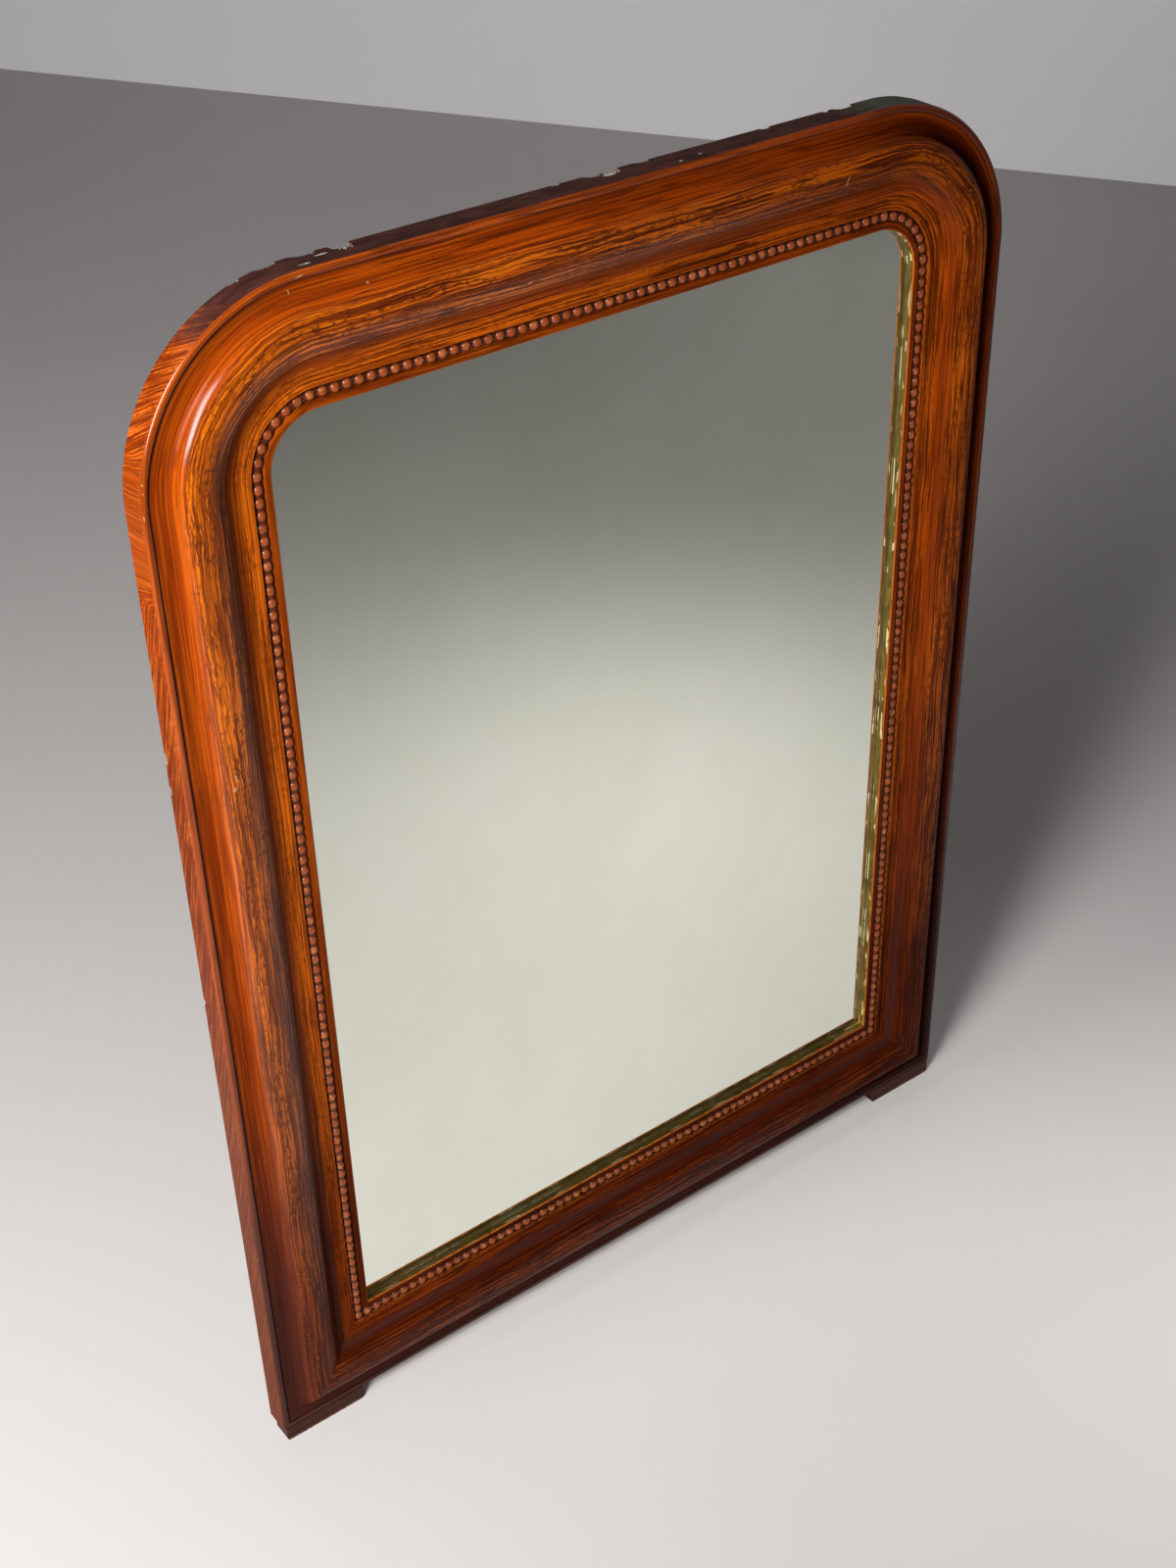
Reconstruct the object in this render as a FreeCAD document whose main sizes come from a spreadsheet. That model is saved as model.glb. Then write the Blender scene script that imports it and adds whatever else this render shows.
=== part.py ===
"""Round-topped mirror in a painted frame, built from its separate pieces.

Lengths are millimetres. X runs to the right, Y to the back and Z up. The front of the frame
faces -Y. The origin is under the middle of the mirror, on the surface that it stands on.

Every member of the frame (carcass, moulding, bead string and gilt slip) is drawn in one local
frame: x is the inset from the frame's outer edge, y the depth behind the front of the lip, and
z runs along the member. A turn about Y then stands it on its side of the frame. The curved
pieces turn the same section about the centre of the round corner.
"""
import FreeCAD, Part
import Sketcher
import math
import os
import re

SIZES = {
    "frame_width": (700, "outline of the frame, across"),
    "frame_height": (922, "outline of the frame, up, without the feet"),
    "sight_radius": (36, "inner radius of the frame at the two top corners"),
    "foot_height": (13.5, "the frame's bottom edge above what it stands on"),
    "foot_length": (70, "foot, along the frame"),
    "foot_depth": (17, "foot, front to back"),
    "foot_inset": (2, "end of a foot from the frame's side"),
    "foot_setback": (0.5, "front of a foot behind the lip"),
    "foot_rounding": (3, "lower corners of a foot"),
    "moulding_depth": (9.7, "front of the lip to the back of the moulding"),
    "lip_width": (4.8, "half-round lip along the outer edge"),
    "lip_drop": (1.6, "rise of the half-round lip"),
    "groove_width": (1.4, "fine groove beside the lip"),
    "groove_depth": (1.6, "groove below the ledge"),
    "ledge_drop": (0.5, "flat ledge below the top of the lip"),
    "ledge_width": (7.8, "flat ledge between the groove and the hollow"),
    "hollow_width": (8.8, "small hollow under the roll, across"),
    "hollow_radius": (8.6, "small hollow under the roll"),
    "rise_width": (12.4, "roll from its sharp outer edge to its highest line"),
    "crest_height": (10.3, "roll above the lip"),
    "fall_width": (17.3, "roll from its highest line to where it turns into the cove"),
    "cove_width": (16.5, "cove, across"),
    "cove_drop": (1.95, "low end of the cove below the top of the lip"),
    "fillet_rise": (0.7, "fillet above the end of the cove"),
    "fillet_width": (4, "fillet outside the beads"),
    "channel_width": (8.8, "channel that holds the beads"),
    "channel_depth": (3.35, "floor of the channel below the fillet"),
    "band_rise": (2.2, "flat inner band above the floor of the channel"),
    "band_width": (5.2, "flat inner band"),
    "nose_rounding": (1.2, "rounded sight edge of the moulding"),
    "nose_flat": (0.2, "flat of the sight edge under its rounding"),
    "slip_width": (3.4, "gilt slip under the sight edge"),
    "slip_slope": (1.2, "gilt slip wider at the glass"),
    "bead_pitch": (8.5, "beads, centre to centre, before they are spaced evenly"),
    "bead_play": (0.6, "bead clear of each side of the channel"),
    "bead_gap": (0.2, "string's end clear of the bead in the corner"),
    "strip_width": (5, "flat strip that links the beads"),
    "strip_rise": (1.2, "thickness of the linking strip"),
    "sight_overhang": (9.5, "sight edge past the inner face of the carcass"),
    "rebate_width": (12.5, "recess for the backboards, into the carcass members"),
    "board_thickness": (5, "backboards"),
    "board_play": (0.4, "backboards clear of their recess and of each other"),
    "board_bevel": (1.5, "bevel along the back edges of a backboard"),
    "dowel_width": (6, "corner dowels, diameter"),
    "dowel_length": (30, "corner dowels, length"),
    "dowel_end_play": (1, "dowel hole deeper than the dowel, at each end"),
    "dowel_play": (0.1, "dowel hole wider than the dowel, on the radius"),
    "glass_play": (1.5, "edge of the mirror plate clear of the carcass"),
    "glass_thickness": (3, "mirror plate"),
    "block_length": (30, "glazing block along the plate's edge"),
    "block_width": (8, "glazing block across"),
    "block_height": (3.5, "glazing block behind the plate"),
    "block_play": (0.3, "glazing block clear of the backboards"),
    "nail_head_width": (5, "backboard nail, head"),
    "nail_head_height": (0.5, "backboard nail, head thickness"),
    "nail_width": (1.6, "nail shank, diameter"),
    "nail_play": (0.05, "nail hole wider than its shank, on the radius"),
    "nail_grip": (5, "backboard nail in the carcass"),
    "nail_edge": (6, "backboard nails from the inner face of the carcass"),
    "foot_nail_length": (24, "foot nail, from the foot's underside"),
    "foot_nail_sink": (1.5, "head of a foot nail above the foot's underside"),
    "foot_nail_head_width": (3.2, "foot nail, head"),
    "hanger_drop": (232, "hinge line of the rings below the frame's top"),
    "strap_width": (10, "hanging strap across"),
    "strap_length": (50, "hanging strap below the hinge line"),
    "strap_thickness": (1.5, "hanging strap"),
    "ring_radius": (15, "hanging ring, to the middle of its wire"),
    "ring_wire": (3, "wire of the hanging ring"),
    "ring_play": (0.3, "ring's wire clear of the eye"),
    "upper_screw_drop": (12, "upper strap screw below the hinge line"),
    "lower_screw_edge": (8, "lower strap screw above the end of the strap"),
    "screw_head_width": (6, "strap screw, head"),
    "screw_land": (0.1, "strap left under a screw head"),
    "slot_width": (0.8, "slot across a screw head"),
    "slot_depth": (0.7, "slot in a screw head, depth"),
    "screw_width": (3, "strap screw, shank"),
    "screw_length": (11, "strap screw"),
    "screw_play": (0.05, "screw hole wider than the screw, on the radius"),
    "overrun": (5, "cuts run past the piece by this much"),
}

BOARD_NAMES = ("left", "middle", "right")
ROW_SHARES = (0.05, 0.22, 0.38, 0.62, 0.78, 0.95)
SIDE_NAIL_SHARES = (0.2, 0.4, 0.6, 0.8)
BLOCK_SHARES = (0.2, 0.5, 0.8)
BLOCK_TOP_SHARE = 0.35
FOOT_NAIL_SHARES = (0.25, 0.75)
DOWEL_SHARES = (0.26, 0.64)
HANGER_SHARE = 0.44

# Derived lines of the section, as expressions in the named sizes
LEDGE_INSET = "(lip_width + groove_width)"
HOLLOW_INSET = f"({LEDGE_INSET} + ledge_width)"
ARRIS_INSET = f"({HOLLOW_INSET} + hollow_width)"
TURN_INSET = f"({ARRIS_INSET} + rise_width + fall_width)"
COVE_INSET = f"({TURN_INSET} + cove_width)"
CHANNEL_INSET = f"({COVE_INSET} + fillet_width)"
BAND_INSET = f"({CHANNEL_INSET} + channel_width)"
SIGHT_INSET = f"({BAND_INSET} + band_width)"
SLIP_INSET = f"({SIGHT_INSET} - slip_width)"
BEAD_INSET = f"({CHANNEL_INSET} + channel_width / 2)"
BEAD_RADIUS = "(channel_width / 2 - bead_play)"
LIP_RADIUS = "((lip_width ^ 2 / 4 + lip_drop ^ 2) / (2 * lip_drop))"
OGEE_WIDTH = "(fall_width + cove_width)"
OGEE_HEIGHT = "(crest_height + cove_drop)"
OGEE_SINE = f"(2 * {OGEE_WIDTH} * {OGEE_HEIGHT} / ({OGEE_WIDTH} ^ 2 + {OGEE_HEIGHT} ^ 2))"
ROLL_RADIUS = f"(fall_width / {OGEE_SINE})"
COVE_RADIUS = f"(cove_width / {OGEE_SINE})"
ROLL_CENTRE = f"({ROLL_RADIUS} - crest_height)"
ARRIS_RISE = f"(sqrt({ROLL_RADIUS} ^ 2 - rise_width ^ 2) - {ROLL_CENTRE})"
TURN_RISE = f"(sqrt({ROLL_RADIUS} ^ 2 - fall_width ^ 2) - {ROLL_CENTRE})"
FILLET_DROP = "(cove_drop - fillet_rise)"
CHANNEL_DROP = f"({FILLET_DROP} + channel_depth)"
BAND_DROP = f"({CHANNEL_DROP} - band_rise)"
NOSE_DROP = f"({BAND_DROP} + nose_rounding + nose_flat)"
MITRE_REACH = f"({SIGHT_INSET} + slip_slope + overrun)"

# Derived sizes of the frame, the carcass and the back
CORNER_RADIUS = f"(sight_radius + {SIGHT_INSET})"
SPRING_RUN = f"(frame_height - {CORNER_RADIUS})"
TOP_RUN = f"(frame_width - 2 * {CORNER_RADIUS})"
MEMBER_WIDTH = f"({SIGHT_INSET} - sight_overhang)"
PLATE_BACK = "(moulding_depth + glass_thickness)"
RECESS_FLOOR = f"({PLATE_BACK} + block_height + block_play)"
SIDE_DEPTH = f"({RECESS_FLOOR} + board_thickness + nail_head_height)"
LAP_DEPTH = f"(({SIDE_DEPTH} + moulding_depth) / 2)"
GLASS_INSET = f"({MEMBER_WIDTH} + glass_play)"
BOARD_INSET = f"({MEMBER_WIDTH} - rebate_width)"
BOARD_EDGE = f"({BOARD_INSET} + board_play)"
BOARD_STEP = f"((frame_width - 2 * {BOARD_EDGE} + board_play) / {len(BOARD_NAMES)})"
BOARD_HEIGHT = f"(frame_height - 2 * {BOARD_EDGE})"
BOTTOM_ROW = f"(frame_width - 2 * {BOARD_INSET})"
NAIL_INSET = f"({MEMBER_WIDTH} - nail_edge)"
NAIL_HOLE = "(nail_width / 2 + nail_play)"
DOWEL_HOLE = "(dowel_width / 2 + dowel_play)"
DOWEL_REACH = "(dowel_length / 2 + dowel_end_play)"
DOWEL_DEPTH = f"((moulding_depth + {SIDE_DEPTH}) / 2)"
DOWEL_CENTRES = [(f"({share} * {MEMBER_WIDTH})", DOWEL_DEPTH) for share in DOWEL_SHARES]
EYE_BORE = "(ring_wire / 2 + strap_width ^ 2 / (8 * ring_radius) + ring_play)"
EYE_RADIUS = f"({EYE_BORE} + strap_thickness)"
HINGE_RUN = "(frame_height - hanger_drop)"
HANGER_INSET = f"({HANGER_SHARE} * {MEMBER_WIDTH})"
SCREW_DROPS = ("upper_screw_drop", "(strap_length - lower_screw_edge)")
SCREW_HEAD_HEIGHT = "(strap_thickness - screw_land)"
FOOT_NAIL_DEPTH = f"(moulding_depth + {LAP_DEPTH}) / 2"
FOOT_NAIL_REACH = "(foot_nail_sink + foot_nail_length - foot_height)"
SCREW_HOLE = "(screw_width / 2 + screw_play)"

# Places of the frame's edges in the part's own frame
LEFT_X = "(0 - frame_width / 2)"
RIGHT_X = "(frame_width / 2)"
LEFT_CENTRE_X = f"({CORNER_RADIUS} - frame_width / 2)"
RIGHT_CENTRE_X = f"(frame_width / 2 - {CORNER_RADIUS})"
LIP_Y = f"((crest_height - {SIDE_DEPTH} - 2 * {EYE_RADIUS}) / 2)"
BOTTOM_Z = "foot_height"
SPRING_Z = f"(foot_height + {SPRING_RUN})"
TOP_Z = "(foot_height + frame_height)"
HANGER_XS = {"left": f"({LEFT_X} + {HANGER_INSET})", "right": f"({RIGHT_X} - {HANGER_INSET})"}

doc = FreeCAD.newDocument("mirror")
sheet = doc.addObject("Spreadsheet::Sheet", "Sizes")
groups = []


def fill_sheet():
    """Writes each size, its alias and what it measures into one row of the sheet."""
    for row, (name, (size, words)) in enumerate(SIZES.items(), 1):
        sheet.set(f"A{row}", words)
        sheet.set(f"B{row}", str(size))
        sheet.setAlias(f"B{row}", name)
    doc.recompute()


def bind(item, prop, text):
    """Ties a property to an expression in which every word with an underscore is a size."""
    item.setExpression(prop, re.sub(r"\b(?:[a-z]+_[a-z_]+|overrun)\b", r"Sizes.\g<0>", text))


def amount(text):
    """The number that an expression of sizes gives now."""
    return float(sheet.evalExpression(text))


def place(item, x, y, z, turn=0, about=(0, 1, 0)):
    """Turns an item about an axis and ties its position to three expressions."""
    rotation = FreeCAD.Rotation(FreeCAD.Vector(*about), turn)
    item.Placement = FreeCAD.Placement(FreeCAD.Vector(0, 0, 0), rotation)
    for axis, text in zip("xyz", (x, y, z)):
        bind(item, f"Placement.Base.{axis}", text)


def new_body(label, x, z, turn=0, y=LIP_Y):
    """An empty body at its place in the mirror."""
    body = doc.addObject("PartDesign::Body", label)
    body.Label = label
    place(body, x, y, z, turn)
    return body


def origin_feature(body, role):
    """The body's own origin plane or axis with this role."""
    return next(item for item in body.Origin.OriginFeatures if item.Role == role)


def new_sketch(body, role="XY_Plane", offset="0"):
    """A sketch on one of the body's origin planes, moved along the plane's normal."""
    sketch = body.newObject("Sketcher::SketchObject", f"{body.Label}_sketch")
    sketch.AttachmentSupport = (origin_feature(body, role), [""])
    sketch.MapMode = "FlatFace"
    if offset != "0":
        bind(sketch, "AttachmentOffset.Base.z", offset)
    return sketch


def pin(sketch, geometry, point, x, y):
    """Ties a point of the sketch to two expressions, measured from the sketch's origin."""
    for kind, text in (("DistanceX", x), ("DistanceY", y)):
        index = sketch.addConstraint(Sketcher.Constraint(kind, -1, 1, geometry, point, amount(text)))
        bind(sketch, f"Constraints[{index}]", text)


def arc_centre(start, end, radius, side):
    """Centre of the arc that lies on the given side of the line from start to end."""
    chord = end - start
    reach = math.sqrt(max(radius ** 2 - (chord.Length / 2) ** 2, 0))
    across = FreeCAD.Vector(-chord.y, chord.x, 0).normalize()
    return (start + end) * 0.5 + across * (side * reach)


def add_side(sketch, start, end, arc):
    """Adds one side of an outline and returns the point numbers of its start and end.

    An arc is (radius, bend, span): bend 1 runs anticlockwise and -1 clockwise, and span 1 is
    under half a turn and -1 over.
    """
    if not arc:
        sketch.addGeometry(Part.LineSegment(start, end))
        return 1, 2
    radius, bend, span = arc
    length = amount(radius)
    centre = arc_centre(start, end, length, bend * span)
    first, last = (start, end) if bend > 0 else (end, start)
    angles = [math.atan2(point.y - centre.y, point.x - centre.x) for point in (first, last)]
    circle = Part.Circle(centre, FreeCAD.Vector(0, 0, 1), length)
    number = sketch.addGeometry(Part.ArcOfCircle(circle, angles[0], angles[1]))
    index = sketch.addConstraint(Sketcher.Constraint("Radius", number, length))
    bind(sketch, f"Constraints[{index}]", radius)
    return (1, 2) if bend > 0 else (2, 1)


def outline(sketch, corners):
    """Closed outline. A corner is (x, y), or (x, y, arc) when the side that leaves it is an arc."""
    points = [FreeCAD.Vector(amount(corner[0]), amount(corner[1]), 0) for corner in corners]
    base = sketch.GeometryCount
    ends = []
    for index, corner in enumerate(corners):
        arc = corner[2] if len(corner) > 2 else None
        ends.append(add_side(sketch, points[index], points[(index + 1) % len(points)], arc))
    for index, corner in enumerate(corners):
        following = (index + 1) % len(corners)
        sketch.addConstraint(Sketcher.Constraint(
            "Coincident", base + index, ends[index][1], base + following, ends[following][0]))
        pin(sketch, base + index, ends[index][0], corner[0], corner[1])


def circles(sketch, centres, radius):
    """Circles of one radius at a list of centres."""
    for x, y in centres:
        centre = FreeCAD.Vector(amount(x), amount(y), 0)
        circle = Part.Circle(centre, FreeCAD.Vector(0, 0, 1), amount(radius))
        number = sketch.addGeometry(circle)
        index = sketch.addConstraint(Sketcher.Constraint("Radius", number, amount(radius)))
        bind(sketch, f"Constraints[{index}]", radius)
        pin(sketch, number, 3, x, y)


def pad(body, sketch, length, reverse=False):
    """Thickens a sketch along its normal, or against it."""
    feature = body.newObject("PartDesign::Pad", f"{body.Label}_pad")
    feature.Profile = sketch
    bind(feature, "Length", length)
    feature.Reversed = reverse
    return feature


def cut(body, sketch, length, forward=True):
    """Cuts a sketch out along its normal, or against it, and checks that it removed something."""
    doc.recompute()
    before = body.Shape.Volume
    feature = body.newObject("PartDesign::Pocket", f"{body.Label}_cut")
    feature.Profile = sketch
    bind(feature, "Length", length)
    feature.Reversed = forward
    doc.recompute()
    if not body.Shape.Volume < before:
        raise RuntimeError(f"a cut in {body.Label} removed nothing")
    return feature


def revolve(body, sketch, degrees, axis="V_Axis"):
    """Turns a sketch about one of its own axes."""
    feature = body.newObject("PartDesign::Revolution", f"{body.Label}_turn")
    feature.Profile = sketch
    feature.ReferenceAxis = (sketch, [axis])
    feature.Angle = degrees
    return feature


def moulding_section(shift):
    """Section of the moulding: lip, groove, ledge, hollow, roll, cove, fillet, channel, band."""
    groove_floor = "ledge_drop + groove_depth"
    corners = [
        ("0", "moulding_depth"),
        ("0", "lip_drop", (LIP_RADIUS, 1, 1)),
        ("lip_width", "lip_drop"),
        ("lip_width", groove_floor),
        (LEDGE_INSET, groove_floor),
        (LEDGE_INSET, "ledge_drop"),
        (HOLLOW_INSET, "ledge_drop", ("hollow_radius", -1, 1)),
        (ARRIS_INSET, f"0 - {ARRIS_RISE}", (ROLL_RADIUS, 1, 1)),
        (TURN_INSET, f"0 - {TURN_RISE}", (COVE_RADIUS, -1, 1)),
        (COVE_INSET, "cove_drop"),
        (COVE_INSET, FILLET_DROP),
        (CHANNEL_INSET, FILLET_DROP),
        (CHANNEL_INSET, CHANNEL_DROP),
        (BAND_INSET, CHANNEL_DROP),
        (BAND_INSET, BAND_DROP),
        (f"{SIGHT_INSET} - nose_rounding", BAND_DROP, ("nose_rounding", 1, 1)),
        (SIGHT_INSET, f"{BAND_DROP} + nose_rounding"),
        (SIGHT_INSET, NOSE_DROP),
        (SLIP_INSET, NOSE_DROP),
        (SLIP_INSET, "moulding_depth"),
    ]
    return [(f"{corner[0]} - {shift}", *corner[1:]) for corner in corners]


def slip_section(shift):
    """Section of the gilt slip, which slopes in towards the glass."""
    corners = [
        (SLIP_INSET, NOSE_DROP),
        (SIGHT_INSET, NOSE_DROP),
        (f"{SIGHT_INSET} + slip_slope", "moulding_depth"),
        (SLIP_INSET, "moulding_depth"),
    ]
    return [(f"{x} - {shift}", y) for x, y in corners]


def carcass_section(shift):
    """Section of the carcass behind the moulding."""
    corners = [
        ("0", "moulding_depth"),
        (MEMBER_WIDTH, "moulding_depth"),
        (MEMBER_WIDTH, SIDE_DEPTH),
        ("0", SIDE_DEPTH),
    ]
    return [(f"{x} - {shift}", y) for x, y in corners]


def strip_section(shift):
    """Section of the strip that links the beads, on the floor of the channel."""
    top = f"{CHANNEL_DROP} - strip_rise"
    near = f"{BEAD_INSET} - strip_width / 2 - {shift}"
    far = f"{BEAD_INSET} + strip_width / 2 - {shift}"
    return [(near, top), (far, top), (far, CHANNEL_DROP), (near, CHANNEL_DROP)]


def cut_mitre(body, run, at_start):
    """Cuts one end of a member along the line where its run equals its inset."""
    sketch = new_sketch(body, "XZ_Plane", f"0 - {SIDE_DEPTH} - overrun")
    if at_start:
        corners = [("0 - overrun", "0 - overrun"), (MITRE_REACH, "0 - overrun"),
                   (MITRE_REACH, MITRE_REACH)]
    else:
        corners = [("0 - overrun", f"{run} + overrun"), (MITRE_REACH, f"{run} - {MITRE_REACH}"),
                   (MITRE_REACH, f"{run} + overrun")]
    outline(sketch, corners)
    cut(body, sketch, f"{SIDE_DEPTH} + crest_height + 2 * overrun")


def straight(label, section, side, start="0", end=""):
    """A straight member, mitred where it meets a square corner."""
    body = new_body(label, side["x"], side["z"], side["turn"])
    sketch = new_sketch(body, "XY_Plane", start)
    outline(sketch, section("0"))
    run = side["run"]
    pad(body, sketch, f"{end or run} - {start}")
    return body


def curved(label, section, corner):
    """A quarter turn of the same section about the centre of a top corner."""
    body = new_body(label, corner["x"], SPRING_Z, corner["turn"])
    sketch = new_sketch(body)
    outline(sketch, section(CORNER_RADIUS))
    revolve(body, sketch, 90)
    return body


SIDES = {
    "left": {"x": LEFT_X, "z": BOTTOM_Z, "turn": 0, "run": SPRING_RUN, "mitres": [True]},
    "top": {"x": LEFT_CENTRE_X, "z": TOP_Z, "turn": 90, "run": TOP_RUN, "mitres": []},
    "right": {"x": RIGHT_X, "z": SPRING_Z, "turn": 180, "run": SPRING_RUN, "mitres": [False]},
    "bottom": {"x": RIGHT_X, "z": BOTTOM_Z, "turn": 270, "run": "frame_width",
               "mitres": [True, False]},
}
CORNERS = {
    "left": {"x": LEFT_CENTRE_X, "turn": 0},
    "right": {"x": RIGHT_CENTRE_X, "turn": 90},
}


def make_trim(name, section):
    """One kind of moulding all round: four straight lengths and two curved corners."""
    for key, side in SIDES.items():
        body = straight(f"{name}_{key}", section, side)
        for at_start in side["mitres"]:
            cut_mitre(body, side["run"], at_start)
    for key, corner in CORNERS.items():
        curved(f"{name}_corner_{key}", section, corner)


def half_bead(body, x, z):
    """Half a ball on the floor of the channel, rounded side to the front."""
    bead = body.newObject("PartDesign::AdditiveSphere", f"{body.Label}_bead")
    bind(bead, "Radius", BEAD_RADIUS)
    bead.Angle3 = 180
    place(bead, x, CHANNEL_DROP, z, 180, (0, 0, 1))
    return bead


def repeat(body, feature, kind, count, reach):
    """Repeats a feature along the member's run, or round the corner's centre."""
    pattern = body.newObject(f"PartDesign::{kind}Pattern", f"{body.Label}_row")
    pattern.Originals = [feature]
    if kind == "Linear":
        pattern.Direction = (origin_feature(body, "Z_Axis"), [""])
        bind(pattern, "Length", reach)
    else:
        pattern.Axis = (origin_feature(body, "Y_Axis"), [""])
        bind(pattern, "Angle", reach)
    bind(pattern, "Occurrences", count)
    body.Tip = pattern


def bead_row(side_name, strip_start, strip_end, first, count, pitch):
    """A straight string of beads with its linking strip."""
    body = straight(f"beads_{side_name}", strip_section, SIDES[side_name], strip_start, strip_end)
    bead = half_bead(body, BEAD_INSET, first)
    repeat(body, bead, "Linear", count, f"{pitch} * ({count} - 1)")


def make_beads():
    """Six strings: the sides start on the corner bead, and the bottom runs between the two."""
    side_reach = f"({SPRING_RUN} - {BEAD_INSET})"
    side_count = f"round({side_reach} / bead_pitch + 0.5)"
    side_pitch = f"({side_reach} / ({side_count} - 0.5))"
    bead_row("left", BEAD_INSET, "", BEAD_INSET, side_count, side_pitch)
    bead_row("right", "0", side_reach, f"{side_pitch} / 2", side_count, side_pitch)
    top_count = f"round({TOP_RUN} / bead_pitch)"
    top_pitch = f"({TOP_RUN} / {top_count})"
    bead_row("top", "0", "", f"{top_pitch} / 2", top_count, top_pitch)
    bottom_reach = f"(frame_width - 2 * {BEAD_INSET})"
    bottom_gaps = f"round({bottom_reach} / bead_pitch)"
    bottom_pitch = f"({bottom_reach} / {bottom_gaps})"
    strip_start = f"({BEAD_INSET} + {BEAD_RADIUS} + bead_gap)"
    bead_row("bottom", strip_start, f"(frame_width - {strip_start})",
             f"{BEAD_INSET} + {bottom_pitch}", f"({bottom_gaps} - 1)", bottom_pitch)
    radius = f"({CORNER_RADIUS} - {BEAD_INSET})"
    count = f"round({radius} * pi / 2 / bead_pitch)"
    for key, corner in CORNERS.items():
        body = curved(f"beads_corner_{key}", strip_section, corner)
        bead = half_bead(body, f"0 - {radius} * cos(45 / {count})", f"{radius} * sin(45 / {count})")
        repeat(body, bead, "Polar", count, f"90 - 90 / {count}")


def cut_box(body, role, offset, low, high, length):
    """Cuts a box: a rectangle on an origin plane, from an offset along the plane's normal."""
    sketch = new_sketch(body, role, offset)
    outline(sketch, [low, (high[0], low[1]), high, (low[0], high[1])])
    return cut(body, sketch, length)


def cut_recess(body, start, length):
    """Cuts the recess for the backboards along a straight member."""
    cut_box(body, "XY_Plane", start, (BOARD_INSET, RECESS_FLOOR),
            (f"{MEMBER_WIDTH} + overrun", f"{SIDE_DEPTH} + overrun"), length)


def drill(body, role, offset, centres, radius, length, forward=True):
    """Drills round holes of one radius from an origin plane or an offset of it."""
    sketch = new_sketch(body, role, offset)
    circles(sketch, centres, radius)
    return cut(body, sketch, length, forward)


def make_stile(key):
    """Upright of the carcass: lapped over the bottom rail, dowelled to the corner block."""
    side = SIDES[key]
    run = side["run"]
    low_first = key == "left"
    body = straight(f"stile_{key}", carcass_section, side)
    lap_start = "0 - overrun" if low_first else f"{run} - {MEMBER_WIDTH}"
    cut_box(body, "XY_Plane", lap_start, ("0 - overrun", LAP_DEPTH),
            (f"{MEMBER_WIDTH} + overrun", f"{SIDE_DEPTH} + overrun"), f"{MEMBER_WIDTH} + overrun")
    cut_recess(body, "0 - overrun", f"{run} + 2 * overrun")
    drill(body, "XY_Plane", run if low_first else "0", DOWEL_CENTRES, DOWEL_HOLE, DOWEL_REACH,
          not low_first)
    foot_centres = [(f"foot_inset + {share} * foot_length", FOOT_NAIL_DEPTH)
                    for share in FOOT_NAIL_SHARES]
    drill(body, "XY_Plane", "0" if low_first else run, foot_centres, NAIL_HOLE, FOOT_NAIL_REACH,
          low_first)
    levels = [f"({BOARD_EDGE} + {share} * {BOARD_HEIGHT})" for share in SIDE_NAIL_SHARES]
    nails = [(NAIL_INSET, level if low_first else f"{run} - {level}") for level in levels]
    drill(body, "XZ_Plane", f"0 - {RECESS_FLOOR}", nails, NAIL_HOLE, "nail_grip")
    levels = [f"({HINGE_RUN} - {drop})" for drop in SCREW_DROPS]
    screws = [(HANGER_INSET, level if low_first else f"{run} - {level}") for level in levels]
    drill(body, "XZ_Plane", f"0 - {SIDE_DEPTH}", screws, SCREW_HOLE,
          "screw_length - strap_thickness")


def make_rails():
    """Top rail between the corner blocks, and bottom rail lapped behind the stiles."""
    top = straight("rail_top", carcass_section, SIDES["top"])
    cut_recess(top, "0 - overrun", f"{TOP_RUN} + 2 * overrun")
    drill(top, "XY_Plane", "0", DOWEL_CENTRES, DOWEL_HOLE, DOWEL_REACH)
    drill(top, "XY_Plane", TOP_RUN, DOWEL_CENTRES, DOWEL_HOLE, DOWEL_REACH, False)
    nails = [(NAIL_INSET, f"{share} * {TOP_RUN}") for share in ROW_SHARES]
    drill(top, "XZ_Plane", f"0 - {RECESS_FLOOR}", nails, NAIL_HOLE, "nail_grip")
    bottom = straight("rail_bottom", carcass_section, SIDES["bottom"])
    for start in ("0 - overrun", f"frame_width - {MEMBER_WIDTH}"):
        cut_box(bottom, "XY_Plane", start, ("0 - overrun", "moulding_depth - overrun"),
                (f"{MEMBER_WIDTH} + overrun", LAP_DEPTH), f"{MEMBER_WIDTH} + overrun")
    cut_recess(bottom, BOARD_INSET, BOTTOM_ROW)
    nails = [(NAIL_INSET, f"{BOARD_INSET} + {share} * {BOTTOM_ROW}") for share in ROW_SHARES]
    drill(bottom, "XZ_Plane", f"0 - {RECESS_FLOOR}", nails, NAIL_HOLE, "nail_grip")


def make_corner_block(key):
    """Curved block at a top corner, with dowel holes in both ends and a square recess behind."""
    body = curved(f"corner_block_{key}", carcass_section, CORNERS[key])
    reach = f"({CORNER_RADIUS} - {BOARD_INSET})"
    cut_box(body, "XZ_Plane", f"0 - {SIDE_DEPTH} - overrun", (f"0 - {reach}", "0 - overrun"),
            ("overrun", reach), f"{SIDE_DEPTH} - {RECESS_FLOOR} + overrun")
    centres = [(f"{inset} - {CORNER_RADIUS}", depth) for inset, depth in DOWEL_CENTRES]
    drill(body, "XY_Plane", "0", centres, DOWEL_HOLE, DOWEL_REACH)
    centres = [(depth, f"{CORNER_RADIUS} - {inset}") for inset, depth in DOWEL_CENTRES]
    drill(body, "YZ_Plane", "0", centres, DOWEL_HOLE, DOWEL_REACH, False)


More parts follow.
